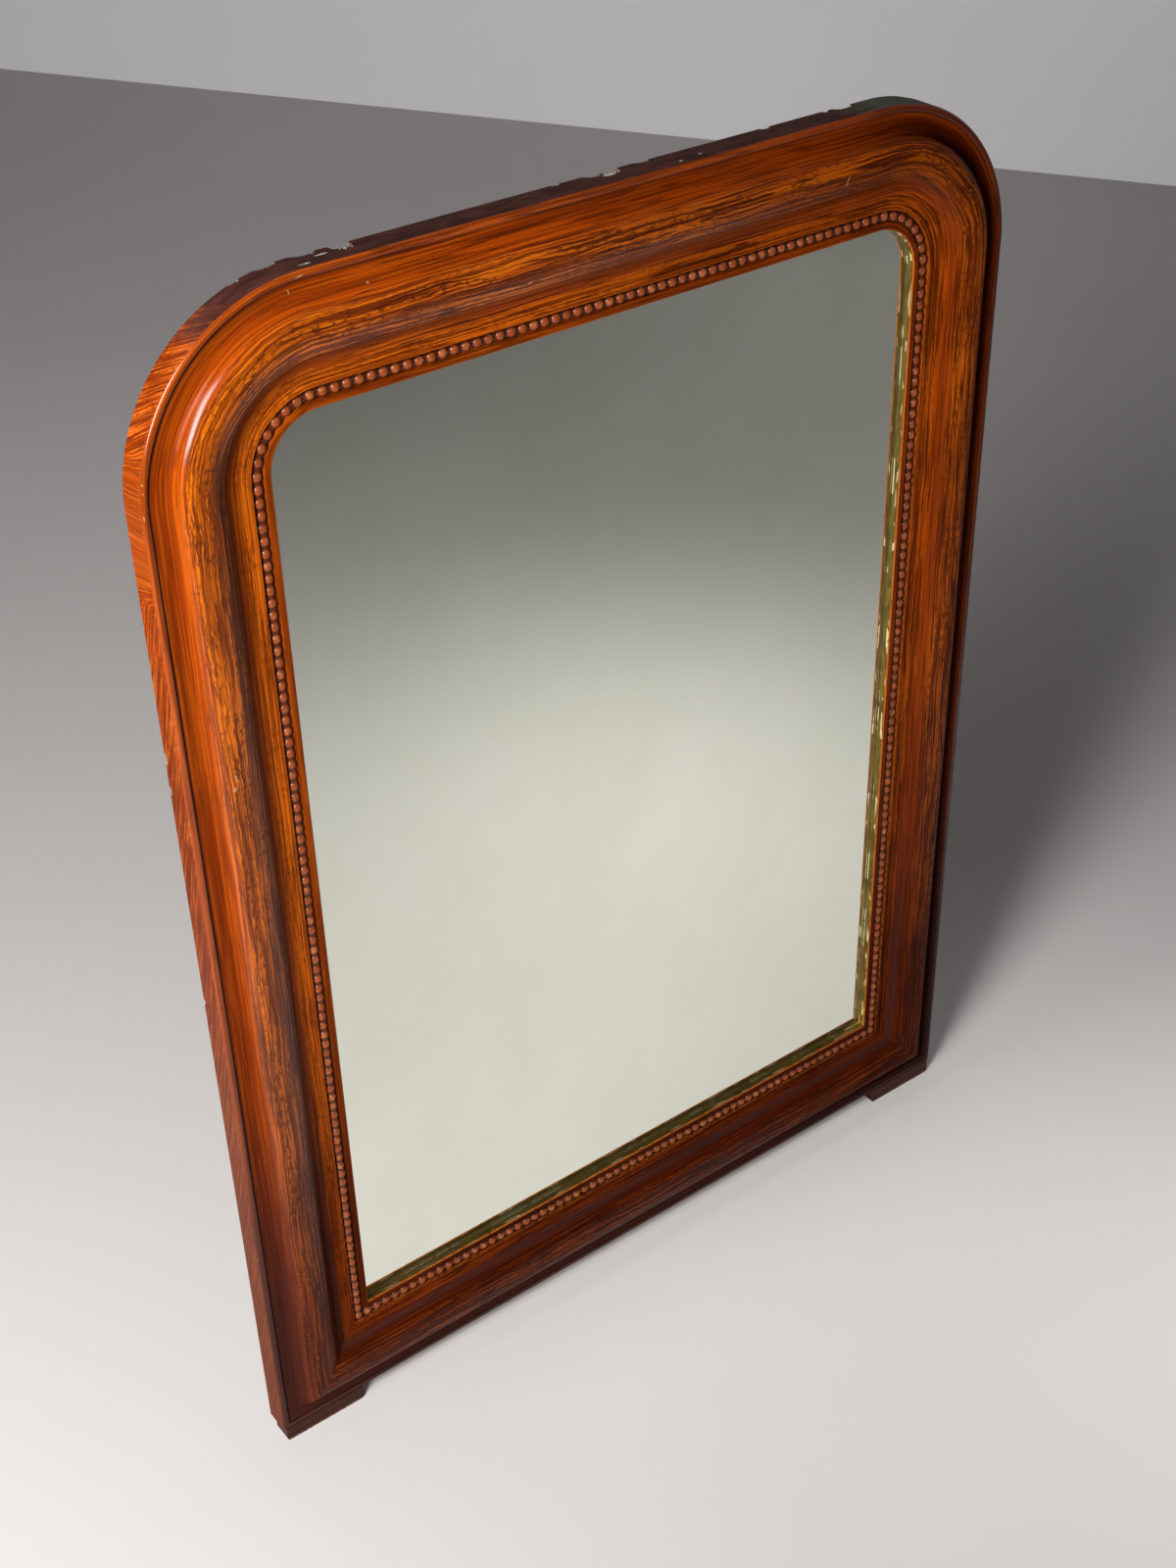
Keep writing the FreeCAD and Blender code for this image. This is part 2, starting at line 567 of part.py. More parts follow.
def make_foot(key, x):
    """Foot under one end of the bottom rail, its lower corners rounded, nailed from below."""
    body = new_body(f"foot_{key}", x, "0", y=f"{LIP_Y} + foot_setback")
    sketch = new_sketch(body, "XZ_Plane")
    round_end = "foot_length - foot_rounding"
    outline(sketch, [
        ("foot_rounding", "0"),
        (round_end, "0", ("foot_rounding", 1, 1)),
        ("foot_length", "foot_rounding"),
        ("foot_length", "foot_height"),
        ("0", "foot_height"),
        ("0", "foot_rounding", ("foot_rounding", 1, 1)),
    ])
    pad(body, sketch, "foot_depth", reverse=True)
    centres = [(f"{share} * foot_length", f"{FOOT_NAIL_DEPTH} - foot_setback")
               for share in FOOT_NAIL_SHARES]
    drill(body, "XY_Plane", "0", centres, NAIL_HOLE, "foot_height")
    drill(body, "XY_Plane", "0", centres, "foot_nail_head_width / 2 + nail_play",
          "foot_nail_sink + nail_head_height")


def make_plate():
    """Silvered glass plate with the frame's rounded top, against the back of the moulding."""
    body = new_body("mirror_plate", "0", BOTTOM_Z, y=f"{LIP_Y} + moulding_depth")
    half = f"(frame_width / 2 - {GLASS_INSET})"
    top = f"frame_height - {GLASS_INSET}"
    radius = f"{CORNER_RADIUS} - {GLASS_INSET}"
    sketch = new_sketch(body, "XZ_Plane")
    outline(sketch, [
        (f"0 - {half}", GLASS_INSET),
        (half, GLASS_INSET),
        (half, SPRING_RUN, (radius, 1, 1)),
        (RIGHT_CENTRE_X, top),
        (LEFT_CENTRE_X, top, (radius, 1, 1)),
        (f"0 - {half}", SPRING_RUN),
    ])
    pad(body, sketch, "glass_thickness", reverse=True)


def make_backboards():
    """Upright boards in the recess, bevelled at the back, with holes for their nails."""
    width = f"({BOARD_STEP} - board_play)"
    for index, name in enumerate(BOARD_NAMES):
        x = f"({BOARD_EDGE} + {index} * {BOARD_STEP} - frame_width / 2)"
        body = new_body(f"backboard_{name}", x, f"{BOTTOM_Z} + {BOARD_EDGE}",
                        y=f"{LIP_Y} + {RECESS_FLOOR}")
        sketch = new_sketch(body)
        outline(sketch, [
            ("0", "0"),
            (width, "0"),
            (width, "board_thickness - board_bevel"),
            (f"{width} - board_bevel", "board_thickness"),
            ("board_bevel", "board_thickness"),
            ("0", "board_thickness - board_bevel"),
        ])
        pad(body, sketch, BOARD_HEIGHT)
        centres = [(f"{place_x} - {x}", f"{level} - {BOARD_EDGE}")
                   for place_x, level in nail_places() if nail_board(place_x) == index]
        drill(body, "XZ_Plane", "0", centres, NAIL_HOLE, "board_thickness + overrun", False)


def nail_places():
    """Where the backboard nails go, as distances from the middle and above the frame's edge."""
    places = []
    for share in ROW_SHARES:
        places.append((f"(({share} - 1 / 2) * {TOP_RUN})", f"(frame_height - {NAIL_INSET})"))
        places.append((f"(({share} - 1 / 2) * {BOTTOM_ROW})", NAIL_INSET))
    for x in (f"({NAIL_INSET} - frame_width / 2)", f"(frame_width / 2 - {NAIL_INSET})"):
        places += [(x, f"({BOARD_EDGE} + {share} * {BOARD_HEIGHT})") for share in SIDE_NAIL_SHARES]
    return places


def nail_board(x):
    """Number of the board that a nail at this distance from the middle goes through."""
    return int(amount(f"({x} + frame_width / 2 - {BOARD_EDGE}) / {BOARD_STEP}"))


def rod(name, radius, length, x, y, z, turn=0, about=(1, 0, 0), top_radius=None):
    """A cylinder, or a cone with its own radius at the far end, from its start along its turn."""
    item = doc.addObject("Part::Cone" if top_radius else "Part::Cylinder", name)
    bind(item, "Radius1" if top_radius else "Radius", radius)
    if top_radius:
        bind(item, "Radius2", top_radius)
    bind(item, "Height", length)
    place(item, x, y, z, turn, about)
    return item


def gather(label, items, fused=False):
    """One node for a group of alike pieces. Fused joins the parts of each piece that touch."""
    group = doc.addObject("Part::MultiFuse" if fused else "Part::Compound", label)
    if fused:
        group.Shapes = items
    else:
        group.Links = items
    group.Label = label
    return group


def make_dowels():
    """Two dowels across each of the four joints of the corner blocks."""
    dowels = []
    start = "dowel_length / 2"
    for inset, depth in DOWEL_CENTRES:
        y = f"{LIP_Y} + {depth}"
        for edge, sign in ((LEFT_X, "+"), (RIGHT_X, "-")):
            dowels.append(rod("dowel", "dowel_width / 2", "dowel_length",
                              f"{edge} {sign} {inset}", y, f"{SPRING_Z} - {start}"))
        for centre in (LEFT_CENTRE_X, RIGHT_CENTRE_X):
            dowels.append(rod("dowel", "dowel_width / 2", "dowel_length",
                              f"{centre} - {start}", y, f"{TOP_Z} - {inset}", 90, (0, 1, 0)))
    groups.append(gather("corner_dowels", dowels))


def make_nails():
    """Backboard nails with flat heads flush with the back, and foot nails driven from below."""
    parts = []
    head_y = f"{LIP_Y} + {RECESS_FLOOR} + board_thickness"
    for x, level in nail_places():
        z = f"{BOTTOM_Z} + {level}"
        parts.append(rod("shank", "nail_width / 2", "board_thickness + nail_grip", x, head_y, z,
                         90))
        parts.append(rod("head", "nail_head_width / 2", "nail_head_height", x, head_y, z, -90))
    groups.append(gather("backboard_nails", parts, True))
    parts = []
    y = f"{LIP_Y} + {FOOT_NAIL_DEPTH}"
    for share in FOOT_NAIL_SHARES:
        inset = f"(foot_inset + {share} * foot_length)"
        for x in (f"{LEFT_X} + {inset}", f"{RIGHT_X} - {inset}"):
            parts.append(rod("shank", "nail_width / 2", "foot_nail_length", x, y, "foot_nail_sink"))
            parts.append(rod("head", "foot_nail_head_width / 2", "nail_head_height", x, y,
                             "foot_nail_sink"))
    groups.append(gather("foot_nails", parts, True))


def make_glazing_blocks():
    """Small tapered blocks glued to the carcass, which hold the plate against the moulding."""
    blocks = []
    inner_width = f"(frame_width - 2 * {MEMBER_WIDTH})"
    spans = {
        "left": (MEMBER_WIDTH, f"({SPRING_RUN} - {MEMBER_WIDTH})"),
        "right": ("0", f"({SPRING_RUN} - {MEMBER_WIDTH})"),
        "top": ("0", TOP_RUN),
        "bottom": (MEMBER_WIDTH, inner_width),
    }
    for key, (start, length) in spans.items():
        side = SIDES[key]
        for share in BLOCK_SHARES:
            block = doc.addObject("Part::Wedge", "block")
            for prop in ("Xmin", "Ymin", "Zmin", "X2min", "Z2min"):
                setattr(block, prop, 0)
            bind(block, "Xmax", "block_width")
            bind(block, "X2max", f"{BLOCK_TOP_SHARE} * block_width")
            bind(block, "Ymax", "block_height")
            bind(block, "Zmax", "block_length")
            bind(block, "Z2max", "block_length")
            run = f"({start} + {share} * {length} - block_length / 2)"
            x, z = member_point(side, MEMBER_WIDTH, run)
            place(block, x, f"{LIP_Y} + {PLATE_BACK}", z, side["turn"])
            blocks.append(block)
    groups.append(gather("glazing_blocks", blocks))


def member_point(side, inset, run):
    """Turns an inset and a run on one side of the frame into X and Z in the mirror."""
    steps = {0: ("+", inset, "+", run), 90: ("+", run, "-", inset),
             180: ("-", inset, "-", run), 270: ("-", run, "+", inset)}
    sign_x, step_x, sign_z, step_z = steps[side["turn"]]
    return f"{side['x']} {sign_x} {step_x}", f"{side['z']} {sign_z} {step_z}"


def make_hanger(key, x):
    """Strap rolled into an eye at its top, screwed to the stile, and the ring that it holds."""
    y = f"{LIP_Y} + {SIDE_DEPTH}"
    z = f"{BOTTOM_Z} + {HINGE_RUN}"
    body = new_body(f"hanger_strap_{key}", x, z, y=y)
    sketch = new_sketch(body, "YZ_Plane", "0 - strap_width / 2")
    outline(sketch, [
        ("0", "0 - strap_length"),
        ("strap_thickness", "0 - strap_length"),
        ("strap_thickness", "0", (EYE_BORE, -1, -1)),
        (EYE_RADIUS, f"0 - {EYE_BORE}"),
        (EYE_RADIUS, f"0 - {EYE_RADIUS}", (EYE_RADIUS, 1, -1)),
        ("0", "0"),
    ])
    pad(body, sketch, "strap_width")
    centres = [("0", f"0 - {drop}") for drop in SCREW_DROPS]
    drill(body, "XZ_Plane", "0", centres, SCREW_HOLE, "strap_thickness + overrun", False)
    for drop in SCREW_DROPS:
        seat = body.newObject("PartDesign::SubtractiveCone", f"{body.Label}_seat")
        bind(seat, "Radius1", SCREW_HOLE)
        bind(seat, "Radius2", "screw_head_width / 2 + screw_play")
        bind(seat, "Height", SCREW_HEAD_HEIGHT)
        place(seat, "0", "screw_land", f"0 - {drop}", -90, (1, 0, 0))
    ring = doc.addObject("Part::Torus", f"hanger_ring_{key}")
    ring.Label = f"hanger_ring_{key}"
    bind(ring, "Radius1", "ring_radius")
    bind(ring, "Radius2", "ring_wire / 2")
    place(ring, x, f"{y} + {EYE_RADIUS}", f"{z} - ring_radius", 90, (1, 0, 0))
    groups.append(ring)


def make_hanger_screws():
    """Two countersunk screws through each strap, with a slot across each head."""
    parts = []
    slots = []
    face_y = f"{LIP_Y} + {SIDE_DEPTH} + strap_thickness"
    for x in HANGER_XS.values():
        for drop in SCREW_DROPS:
            z = f"{BOTTOM_Z} + {HINGE_RUN} - {drop}"
            parts.append(rod("shank", "screw_width / 2", f"screw_length - {SCREW_HEAD_HEIGHT}",
                             x, f"{face_y} - screw_length", z, -90))
            parts.append(rod("head", "screw_width / 2", SCREW_HEAD_HEIGHT,
                             x, f"{face_y} - {SCREW_HEAD_HEIGHT}", z, -90,
                             top_radius="screw_head_width / 2"))
            slot = doc.addObject("Part::Box", "slot")
            bind(slot, "Length", "screw_head_width + 2 * overrun")
            bind(slot, "Width", "slot_depth + overrun")
            bind(slot, "Height", "slot_width")
            place(slot, f"{x} - screw_head_width / 2 - overrun", f"{face_y} - slot_depth",
                  f"{z} - slot_width / 2")
            slots.append(slot)
    screws = doc.addObject("Part::Cut", "hanger_screws")
    screws.Label = "hanger_screws"
    screws.Base = gather("blanks", parts, True)
    screws.Tool = gather("slots", slots)
    groups.append(screws)


def pieces():
    """Every finished piece: the bodies, the groups and the rings."""
    return [item for item in doc.Objects if item.TypeId == "PartDesign::Body"] + groups


def write_pieces():
    """Checks the document and every piece, then writes one STEP file for each."""
    for item in doc.Objects:
        if "Invalid" in item.State or "Error" in item.State:
            raise RuntimeError(f"{item.Label} is {item.State}")
    for piece in pieces():
        if piece.Shape.isNull() or not piece.Shape.isValid() or not piece.Shape.Solids:
            raise RuntimeError(f"{piece.Label} has no sound solid")
    os.makedirs("parts", exist_ok=True)
    for piece in pieces():
        piece.Shape.exportStep(os.path.join("parts", f"{piece.Label}.step"))


def main():
    """Builds every piece, checks it and writes one STEP file for each."""
    fill_sheet()
    for key in ("left", "right"):
        make_stile(key)
        make_corner_block(key)
    make_rails()
    make_foot("left", f"{LEFT_X} + foot_inset")
    make_foot("right", f"{RIGHT_X} - foot_inset - foot_length")
    make_trim("moulding", moulding_section)
    make_trim("slip", slip_section)
    make_beads()
    make_plate()
    make_backboards()
    for key, x in HANGER_XS.items():
        make_hanger(key, x)
    make_hanger_screws()
    make_dowels()
    make_nails()
    make_glazing_blocks()
    doc.recompute()
    write_pieces()


main()
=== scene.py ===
"""Round-topped mirror in a faux bois frame: visible surfaces, finishes, studio light and camera.

Metres throughout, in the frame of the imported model: X to the right, Y to the back, Z up, with the
origin under the middle of the mirror. A place on the frame is given by its inset from the outer
edge, its depth behind the front of the lip, and its run along the member.
"""
import math

import bpy
import numpy as np
from mathutils import Matrix, Vector


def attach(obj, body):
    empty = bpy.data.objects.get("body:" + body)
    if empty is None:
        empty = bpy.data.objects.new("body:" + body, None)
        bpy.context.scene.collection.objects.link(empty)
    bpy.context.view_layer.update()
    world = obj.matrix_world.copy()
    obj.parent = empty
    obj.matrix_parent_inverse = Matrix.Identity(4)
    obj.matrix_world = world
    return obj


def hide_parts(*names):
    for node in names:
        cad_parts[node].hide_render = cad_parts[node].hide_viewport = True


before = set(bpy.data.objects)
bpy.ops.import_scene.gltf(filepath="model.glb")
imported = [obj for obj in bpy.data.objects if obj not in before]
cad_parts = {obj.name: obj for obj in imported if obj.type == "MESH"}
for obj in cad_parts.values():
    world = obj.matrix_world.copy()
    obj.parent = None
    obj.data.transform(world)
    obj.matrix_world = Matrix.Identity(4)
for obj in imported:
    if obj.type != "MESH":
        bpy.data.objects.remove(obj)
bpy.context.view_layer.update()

# Millimetres in a metre
MM = 1000

# Outline of the frame
FRAME_WIDTH = 0.700
FRAME_HEIGHT = 0.922
FOOT_HEIGHT = 0.0135
CORNER_RADIUS = 0.123
SPRING_RUN = FRAME_HEIGHT - CORNER_RADIUS
TOP_RUN = FRAME_WIDTH - 2 * CORNER_RADIUS
CORNER_RUN = CORNER_RADIUS * math.pi / 2
SPRING_Z = FOOT_HEIGHT + SPRING_RUN
TOP_Z = FOOT_HEIGHT + FRAME_HEIGHT
LIP_Y = -0.00998333

# Section of the frame, as inset and depth
MOULDING_DEPTH = 0.0097
SIDE_DEPTH = 0.022
MEMBER_WIDTH = 0.0775
LAP_DEPTH = 0.01585
REBATE_INSET = 0.065
REBATE_DEPTH = 0.0165
CREST = (0.0352, -0.0103)
CHANNEL_INSET = 0.073
CHANNEL_DROP = 0.0046
BEAD_INSET = 0.0774
BEAD_RADIUS = 0.0038
BEAD_PITCH = 0.0085
SIGHT_INSET = 0.087
SLIP_INSET = 0.0836
NOSE_DROP = 0.0038

SIDES = ("left", "corner_left", "top", "corner_right", "right", "bottom")
RUNS = {"left": SPRING_RUN, "corner_left": CORNER_RUN, "top": TOP_RUN,
        "corner_right": CORNER_RUN, "right": SPRING_RUN, "bottom": FRAME_WIDTH}

# Handwork: waver of the gesso, down to a depth, and of the slips, and how far paint fills the
# groove, which lies between two insets, below the ledge
GESSO_WAVER = 0.00006
GESSO_DEPTH = 0.002
SLIP_WAVER = 0.00008
LEDGE_DEPTH = 0.0005
GROOVE = (0.005, 0.0063)
GROOVE_FILL = 0.0012

# Depth of cut in the back edge is this much below 0 where there is no nick
UNCUT = 0.009

# Nicks in the back edge: side, middle of the run, half its length, size
NICKS = (
    ("left", 0.4275, 0.004, 0.0016),
    ("left", 0.6025, 0.005, 0.0018),
    ("left", 0.6275, 0.007, 0.0024),
    ("corner_left", 0.158, 0.006, 0.0012),
    ("corner_left", 0.181, 0.011, 0.0026),
    ("top", 0.014, 0.013, 0.0030),
    ("top", 0.0375, 0.0115, 0.0088),
    ("top", 0.193, 0.005, 0.0018),
    ("top", 0.222, 0.009, 0.0042),
    ("top", 0.236, 0.012, 0.0062),
    ("top", 0.262, 0.009, 0.0020),
    ("top", 0.364, 0.006, 0.0026),
    ("top", 0.417, 0.004, 0.0024),
    ("top", 0.434, 0.012, 0.0046),
    ("corner_right", 0.040, 0.010, 0.0016),
)

# Scuffs on the paint: middle in X and Z, half width and half height, turn from upright, then
# middle and half length in depth, all in mm and degrees
FRONT = (0, 99)
SCUFFS = (
    (-318.4, 627.0, 0.9, 5.0, -8, *FRONT),
    (-320.0, 619.5, 1.6, 2.2, 20, *FRONT),
    (183.0, 897.0, 0.8, 4.6, 24, *FRONT),
    (302.0, 864.0, 1.6, 1.2, 0, *FRONT),
    (-232.0, 932.0, 3.4, 0.8, -12, *FRONT),
    (-240.0, 924.5, 0.7, 2.6, -14, *FRONT),
    (-188.0, 917.5, 1.1, 0.8, 0, *FRONT),
    (-346.5, 836.0, 0.8, 1.4, 0, *FRONT),
    (-346.8, 830.5, 0.8, 1.0, 0, *FRONT),
    (-348.4, 815.0, 0.6, 3.0, 0, *FRONT),
    (-224.0, 934.5, 6.0, 3.0, 0, 7, 1.4),
    (-209.0, 935.5, 6.0, 3.0, 0, 14, 1.4),
    (-196.0, 935.5, 5.0, 3.0, 0, 17, 2.0),
    (2.0, 935.5, 6.5, 3.0, 0, 15, 3.4),
    (52.0, 935.5, 2.0, 3.0, 0, 6, 1.2),
    (70.0, 935.5, 2.0, 3.0, 0, 9, 1.2),
)

# Paint across the section of the moulding: girth in mm where the ramp of colours starts, its
# length, and each colour with the girth where it lies. The dark shades at the groove, girth 5, and
# inside the roll, girth 62 to 72, are partly painted shade.
SHADES_START = -10
SHADES_LENGTH = 130
SHADES = (
    (-3, 166, 68, 6), (3, 160, 66, 6), (5, 70, 28, 6), (7, 140, 52, 6), (15, 144, 51, 5),
    (28, 170, 69, 4), (40, 186, 88, 6), (50, 162, 72, 6), (62, 124, 50, 8), (72, 122, 47, 8),
    (79, 182, 74, 8), (86, 214, 98, 12), (92, 218, 102, 16), (96, 136, 58, 12),
    (101, 104, 44, 10), (106, 142, 58, 8), (112, 116, 48, 10),
)

# Run in mm at the middle of the bottom, far from the runs of the other sides
BOTTOM_RUN = 4000.0


# Surfaces

def arc(start, end, radius, bend, count):
    """Points of the arc of under half a turn from start to end.

    The centre lies beside the middle of the chord, at the root of radius squared minus half the
    chord squared. A bend of 1 runs anticlockwise and -1 clockwise.
    """
    start, end = np.array(start), np.array(end)
    chord = end - start
    length = np.hypot(*chord)
    across = np.array([-chord[1], chord[0]]) / length
    centre = (start + end) / 2 + across * bend * math.sqrt(radius ** 2 - length ** 2 / 4)
    first = math.atan2(*(start - centre)[::-1])
    turn = 2 * math.asin(length / 2 / radius) * bend
    angle = first + turn * np.linspace(0, 1, count)
    return centre + radius * np.stack([np.cos(angle), np.sin(angle)], 1)


def line(start, end, count=2):
    """Evenly spaced points from start to end."""
    return np.linspace(start, end, count)


def curve(start, leave, arrive, end, count):
    """Cubic curve (1-t)^3 a + 3t(1-t)^2 b + 3t^2(1-t) c + t^3 d of four points."""
    t = np.linspace(0, 1, count)[:, None]
    weights = ((1 - t) ** 3, 3 * t * (1 - t) ** 2, 3 * t ** 2 * (1 - t), t ** 3)
    return sum(weight * np.array(point)
               for weight, point in zip(weights, (start, leave, arrive, end)))


def trimmed(points, start, end):
    """A run of points cut back by a length at each end, without the points close to a cut."""
    steps = np.concatenate([[0], np.cumsum(np.hypot(*np.diff(points, axis=0).T))])
    clear = 1.2
    inner = steps[(steps > start * clear) & (steps < steps[-1] - end * clear)]
    marks = np.unique(np.concatenate([[start], inner, [steps[-1] - end]]))
    return np.stack([np.interp(marks, steps, column) for column in points.T], 1)


def eased(runs, eases):
    """Closed outline of runs of points, with the corner before each run rounded by its ease.

    The rounding is the curve (1 - t)^2 a + 2 t (1 - t) corner + t^2 b.
    """
    ends = eases[1:] + eases[:1]
    parts = [trimmed(run, start, end) for run, start, end in zip(runs, eases, ends)]
    t = np.array([0.25, 0.5, 0.75])[:, None]
    joined = []
    for part, following, run, ease in zip(parts, parts[1:] + parts[:1], runs, ends):
        joined.append(part[:-1] if ease == 0 else part)
        if ease:
            joined.append((1 - t) ** 2 * part[-1] + 2 * t * (1 - t) * run[-1]
                          + t ** 2 * following[0])
    return np.concatenate(joined)


def placed(side, inset, depth, run):
    """Points of the frame from inset, depth and run.

    A straight side runs along its own edge. In a corner the point lies at corner radius minus
    inset from the corner's centre, at the angle run divided by corner radius.
    """
    reach = CORNER_RADIUS - inset
    angle = run / CORNER_RADIUS
    centre_x = FRAME_WIDTH / 2 - CORNER_RADIUS
    if side == "left":
        x, z = inset - FRAME_WIDTH / 2, FOOT_HEIGHT + run
    elif side == "corner_left":
        x, z = -centre_x - reach * np.cos(angle), SPRING_Z + reach * np.sin(angle)
    elif side == "top":
        x, z = run - centre_x, TOP_Z - inset
    elif side == "corner_right":
        x, z = centre_x + reach * np.sin(angle), SPRING_Z + reach * np.cos(angle)
    elif side == "right":
        x, z = FRAME_WIDTH / 2 - inset, SPRING_Z - run
    else:
        x, z = FRAME_WIDTH / 2 - run, FOOT_HEIGHT + inset
    return np.stack(np.broadcast_arrays(x, LIP_Y + depth, z), -1)


def mitred(side, inset, share):
    """Run at a share of the member's length, which shortens by the inset at a mitre."""
    low = inset if side in ("left", "bottom") else 0
    high = RUNS[side] - (inset if side in ("right", "bottom") else 0)
    return low + share * (high - low)


def new_piece(name, points, faces, node, material, sharp=35, nick=None):
    """Adds a mesh of points and faces, turned outwards, that stands for a node of the frame."""
    mesh = bpy.data.meshes.new(name)
    mesh.from_pydata(points.reshape(-1, 3), [], faces)
    mesh.update()
    if volume(mesh) < 0:
        mesh.flip_normals()
    mesh.shade_smooth()
    mesh.set_sharp_from_angle(angle=math.radians(sharp))
    if nick is not None:
        mesh.attributes.new("nick", "FLOAT", "POINT").data.foreach_set("value", nick.ravel())
    mesh.materials.append(material)
    piece = bpy.data.objects.new(name, mesh)
    bpy.context.collection.objects.link(piece)
    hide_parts(node)
    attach(piece, "frame")


def volume(mesh):
    """Signed volume: a sixth of the sum of the triple products of the triangles' corners."""
    mesh.calc_loop_triangles()
    corners = np.empty(3 * len(mesh.loop_triangles), np.int32)
    mesh.loop_triangles.foreach_get("vertices", corners)
    points = np.empty(3 * len(mesh.vertices))
    mesh.vertices.foreach_get("co", points)
    a, b, c = points.reshape(-1, 3)[corners.reshape(-1, 3)].transpose(1, 0, 2)
    return np.einsum("ij,ij->i", a, np.cross(b, c)).sum() / 6


def grid_faces(rows, columns):
    """Four-sided faces between the rows of a grid, each of which closes on itself."""
    start = columns * np.arange(rows - 1)[:, None]
    column = np.arange(columns)
    after = (column + 1) % columns
    faces = np.broadcast_arrays(start + column, start + after, start + columns + after,
                                start + columns + column)
    return np.stack(faces, -1).reshape(-1, 4)


def capped_faces(rows, columns, first=0):
    """Faces of a grid of rings, numbered from first, with a flat face at each end."""
    faces = (grid_faces(rows, columns) + first).tolist()
    ring = list(range(first, first + columns))
    last = (rows - 1) * columns
    return faces + [ring[::-1], [corner + last for corner in ring]]


def stations(side, step, fine=()):
    """Runs along a member at about one step, with more in each stretch of start, end and step."""
    closest = 0.0002
    marks = [np.linspace(0, RUNS[side], round(RUNS[side] / step) + 1)]
    marks += [np.arange(*stretch) for stretch in fine]
    marks = np.unique(np.round(np.concatenate(marks), 5))
    return marks[np.concatenate([[True], np.diff(marks) > closest])]


def moulding_profile():
    """Outline of the moulding's section, from the back of its outer face round to its back."""
    lip, ledge, hollow, turn, cove, band = 0.0052, 0.0061, 0.014, 0.0525, 0.069, 0.0818
    draft, groove_floor, cove_end, fillet, band_drop = 0.0001, 0.0017, 0.00195, 0.00125, 0.0024
    side_end, lip_top, lip_end = (0, 0.0030), (0.0028, 0), (lip, 0.0006)
    width, height = cove - CREST[0], cove_end - CREST[1]
    sine = 2 * width * height / (width ** 2 + height ** 2)
    roll_radius, cove_radius = (turn - CREST[0]) / sine, (cove - turn) / sine
    turn_depth = CREST[1] + roll_radius - math.sqrt(roll_radius ** 2 - (turn - CREST[0]) ** 2)
    flank = np.array([0.0213, -0.0045])
    slope = np.array([math.cos(1.0), -math.sin(1.0)])
    runs = [
        line((0, MOULDING_DEPTH), side_end, 6),
        curve(side_end, (0, 0.0011), (0.0010, 0), lip_top, 12),
        curve(lip_top, (0.0038, 0), (0.0047, 0.0002), lip_end, 5),
        line(lip_end, (lip + draft, groove_floor)),
        line((lip + draft, groove_floor), (ledge - draft, groove_floor), 3),
        line((ledge - draft, groove_floor), (ledge, LEDGE_DEPTH)),
        line((ledge, LEDGE_DEPTH), (hollow, LEDGE_DEPTH), 7),
        curve((hollow, LEDGE_DEPTH), (hollow + 0.0042, LEDGE_DEPTH), flank - 0.0034 * slope,
              flank, 12),
        curve(flank, flank + 0.0036 * slope, (CREST[0] - 0.0085, CREST[1]), CREST, 16),
        arc(CREST, (turn, turn_depth), roll_radius, 1, 16),
        arc((turn, turn_depth), (cove, cove_end), cove_radius, -1, 14),
        line((cove, cove_end), (cove, fillet)),
        line((cove, fillet), (CHANNEL_INSET, fillet), 4),
        line((CHANNEL_INSET, fillet), (CHANNEL_INSET, CHANNEL_DROP), 3),
        line((CHANNEL_INSET, CHANNEL_DROP), (band, CHANNEL_DROP), 3),
        line((band, CHANNEL_DROP), (band, band_drop), 3),
        line((band, band_drop), (SIGHT_INSET, band_drop), 4),
        line((SIGHT_INSET, band_drop), (SIGHT_INSET, NOSE_DROP)),
        line((SIGHT_INSET, NOSE_DROP), (SLIP_INSET, NOSE_DROP)),
        line((SLIP_INSET, NOSE_DROP), (SLIP_INSET, MOULDING_DEPTH)),
        line((SLIP_INSET, MOULDING_DEPTH), (0, MOULDING_DEPTH), 12),
    ]
    eases = [0, 0, 0, 0.0002, 0.0001, 0.0001, 0.0002, 0, 0, 0, 0, 0.0002, 0.0004, 0.0004, 0.0004,
             0.0004, 0.0004, 0.0009, 0.0001, 0, 0]
    return eased(runs, eases)


def hand_laid(inset, depth, run, clogged):
    """Depth with the slow waver of gesso laid by hand: crossed sines under a fifth of a mm.

    In the groove behind the lip a share of what lies deeper than the ledge is filled with paint.
    """
    swell = np.sin(run * 61 + 2 * np.sin(run * 17)) * np.sin(inset * 230 + 1)
    ripple = 0.5 * np.sin(run * 190 + inset * 400)
    filled = np.where((inset > GROOVE[0]) & (inset < GROOVE[1]), clogged, 0)
    depth = depth - filled * np.clip(depth - LEDGE_DEPTH, 0, GROOVE_FILL)
    return depth + np.where(depth < GESSO_DEPTH, GESSO_WAVER * (swell + ripple + 1.5), 0)


def make_mouldings():
    """The six mouldings, each a fine sweep of the section along its side."""
    profile = moulding_profile()
    for side in SIDES:
        share = stations(side, 0.003)[:, None] / RUNS[side]
        inset, depth = profile[:, 0], profile[:, 1]
        run = mitred(side, inset, share)
        clogged = {"left": 0, "corner_left": 0.7 * share, "bottom": 0}.get(side, 0.7)
        points = placed(side, inset, hand_laid(inset, depth, run, clogged), run)
        new_piece(f"moulding_{side}_painted", points, capped_faces(*points.shape[:2]),
                  f"moulding_{side}", PAINTED_MOULDING)


def carcass_profile(rebate):
    """Section of the carcass, with the recess for the boards starting at an inset."""
    runs = [line((0, MOULDING_DEPTH), (0, SIDE_DEPTH), 17)[:-1],
            line((0, SIDE_DEPTH), (0.010, SIDE_DEPTH), 15),
            line((rebate, SIDE_DEPTH), (rebate, REBATE_DEPTH)),
            line((MEMBER_WIDTH, REBATE_DEPTH), (MEMBER_WIDTH, MOULDING_DEPTH))]
    return np.concatenate(runs)


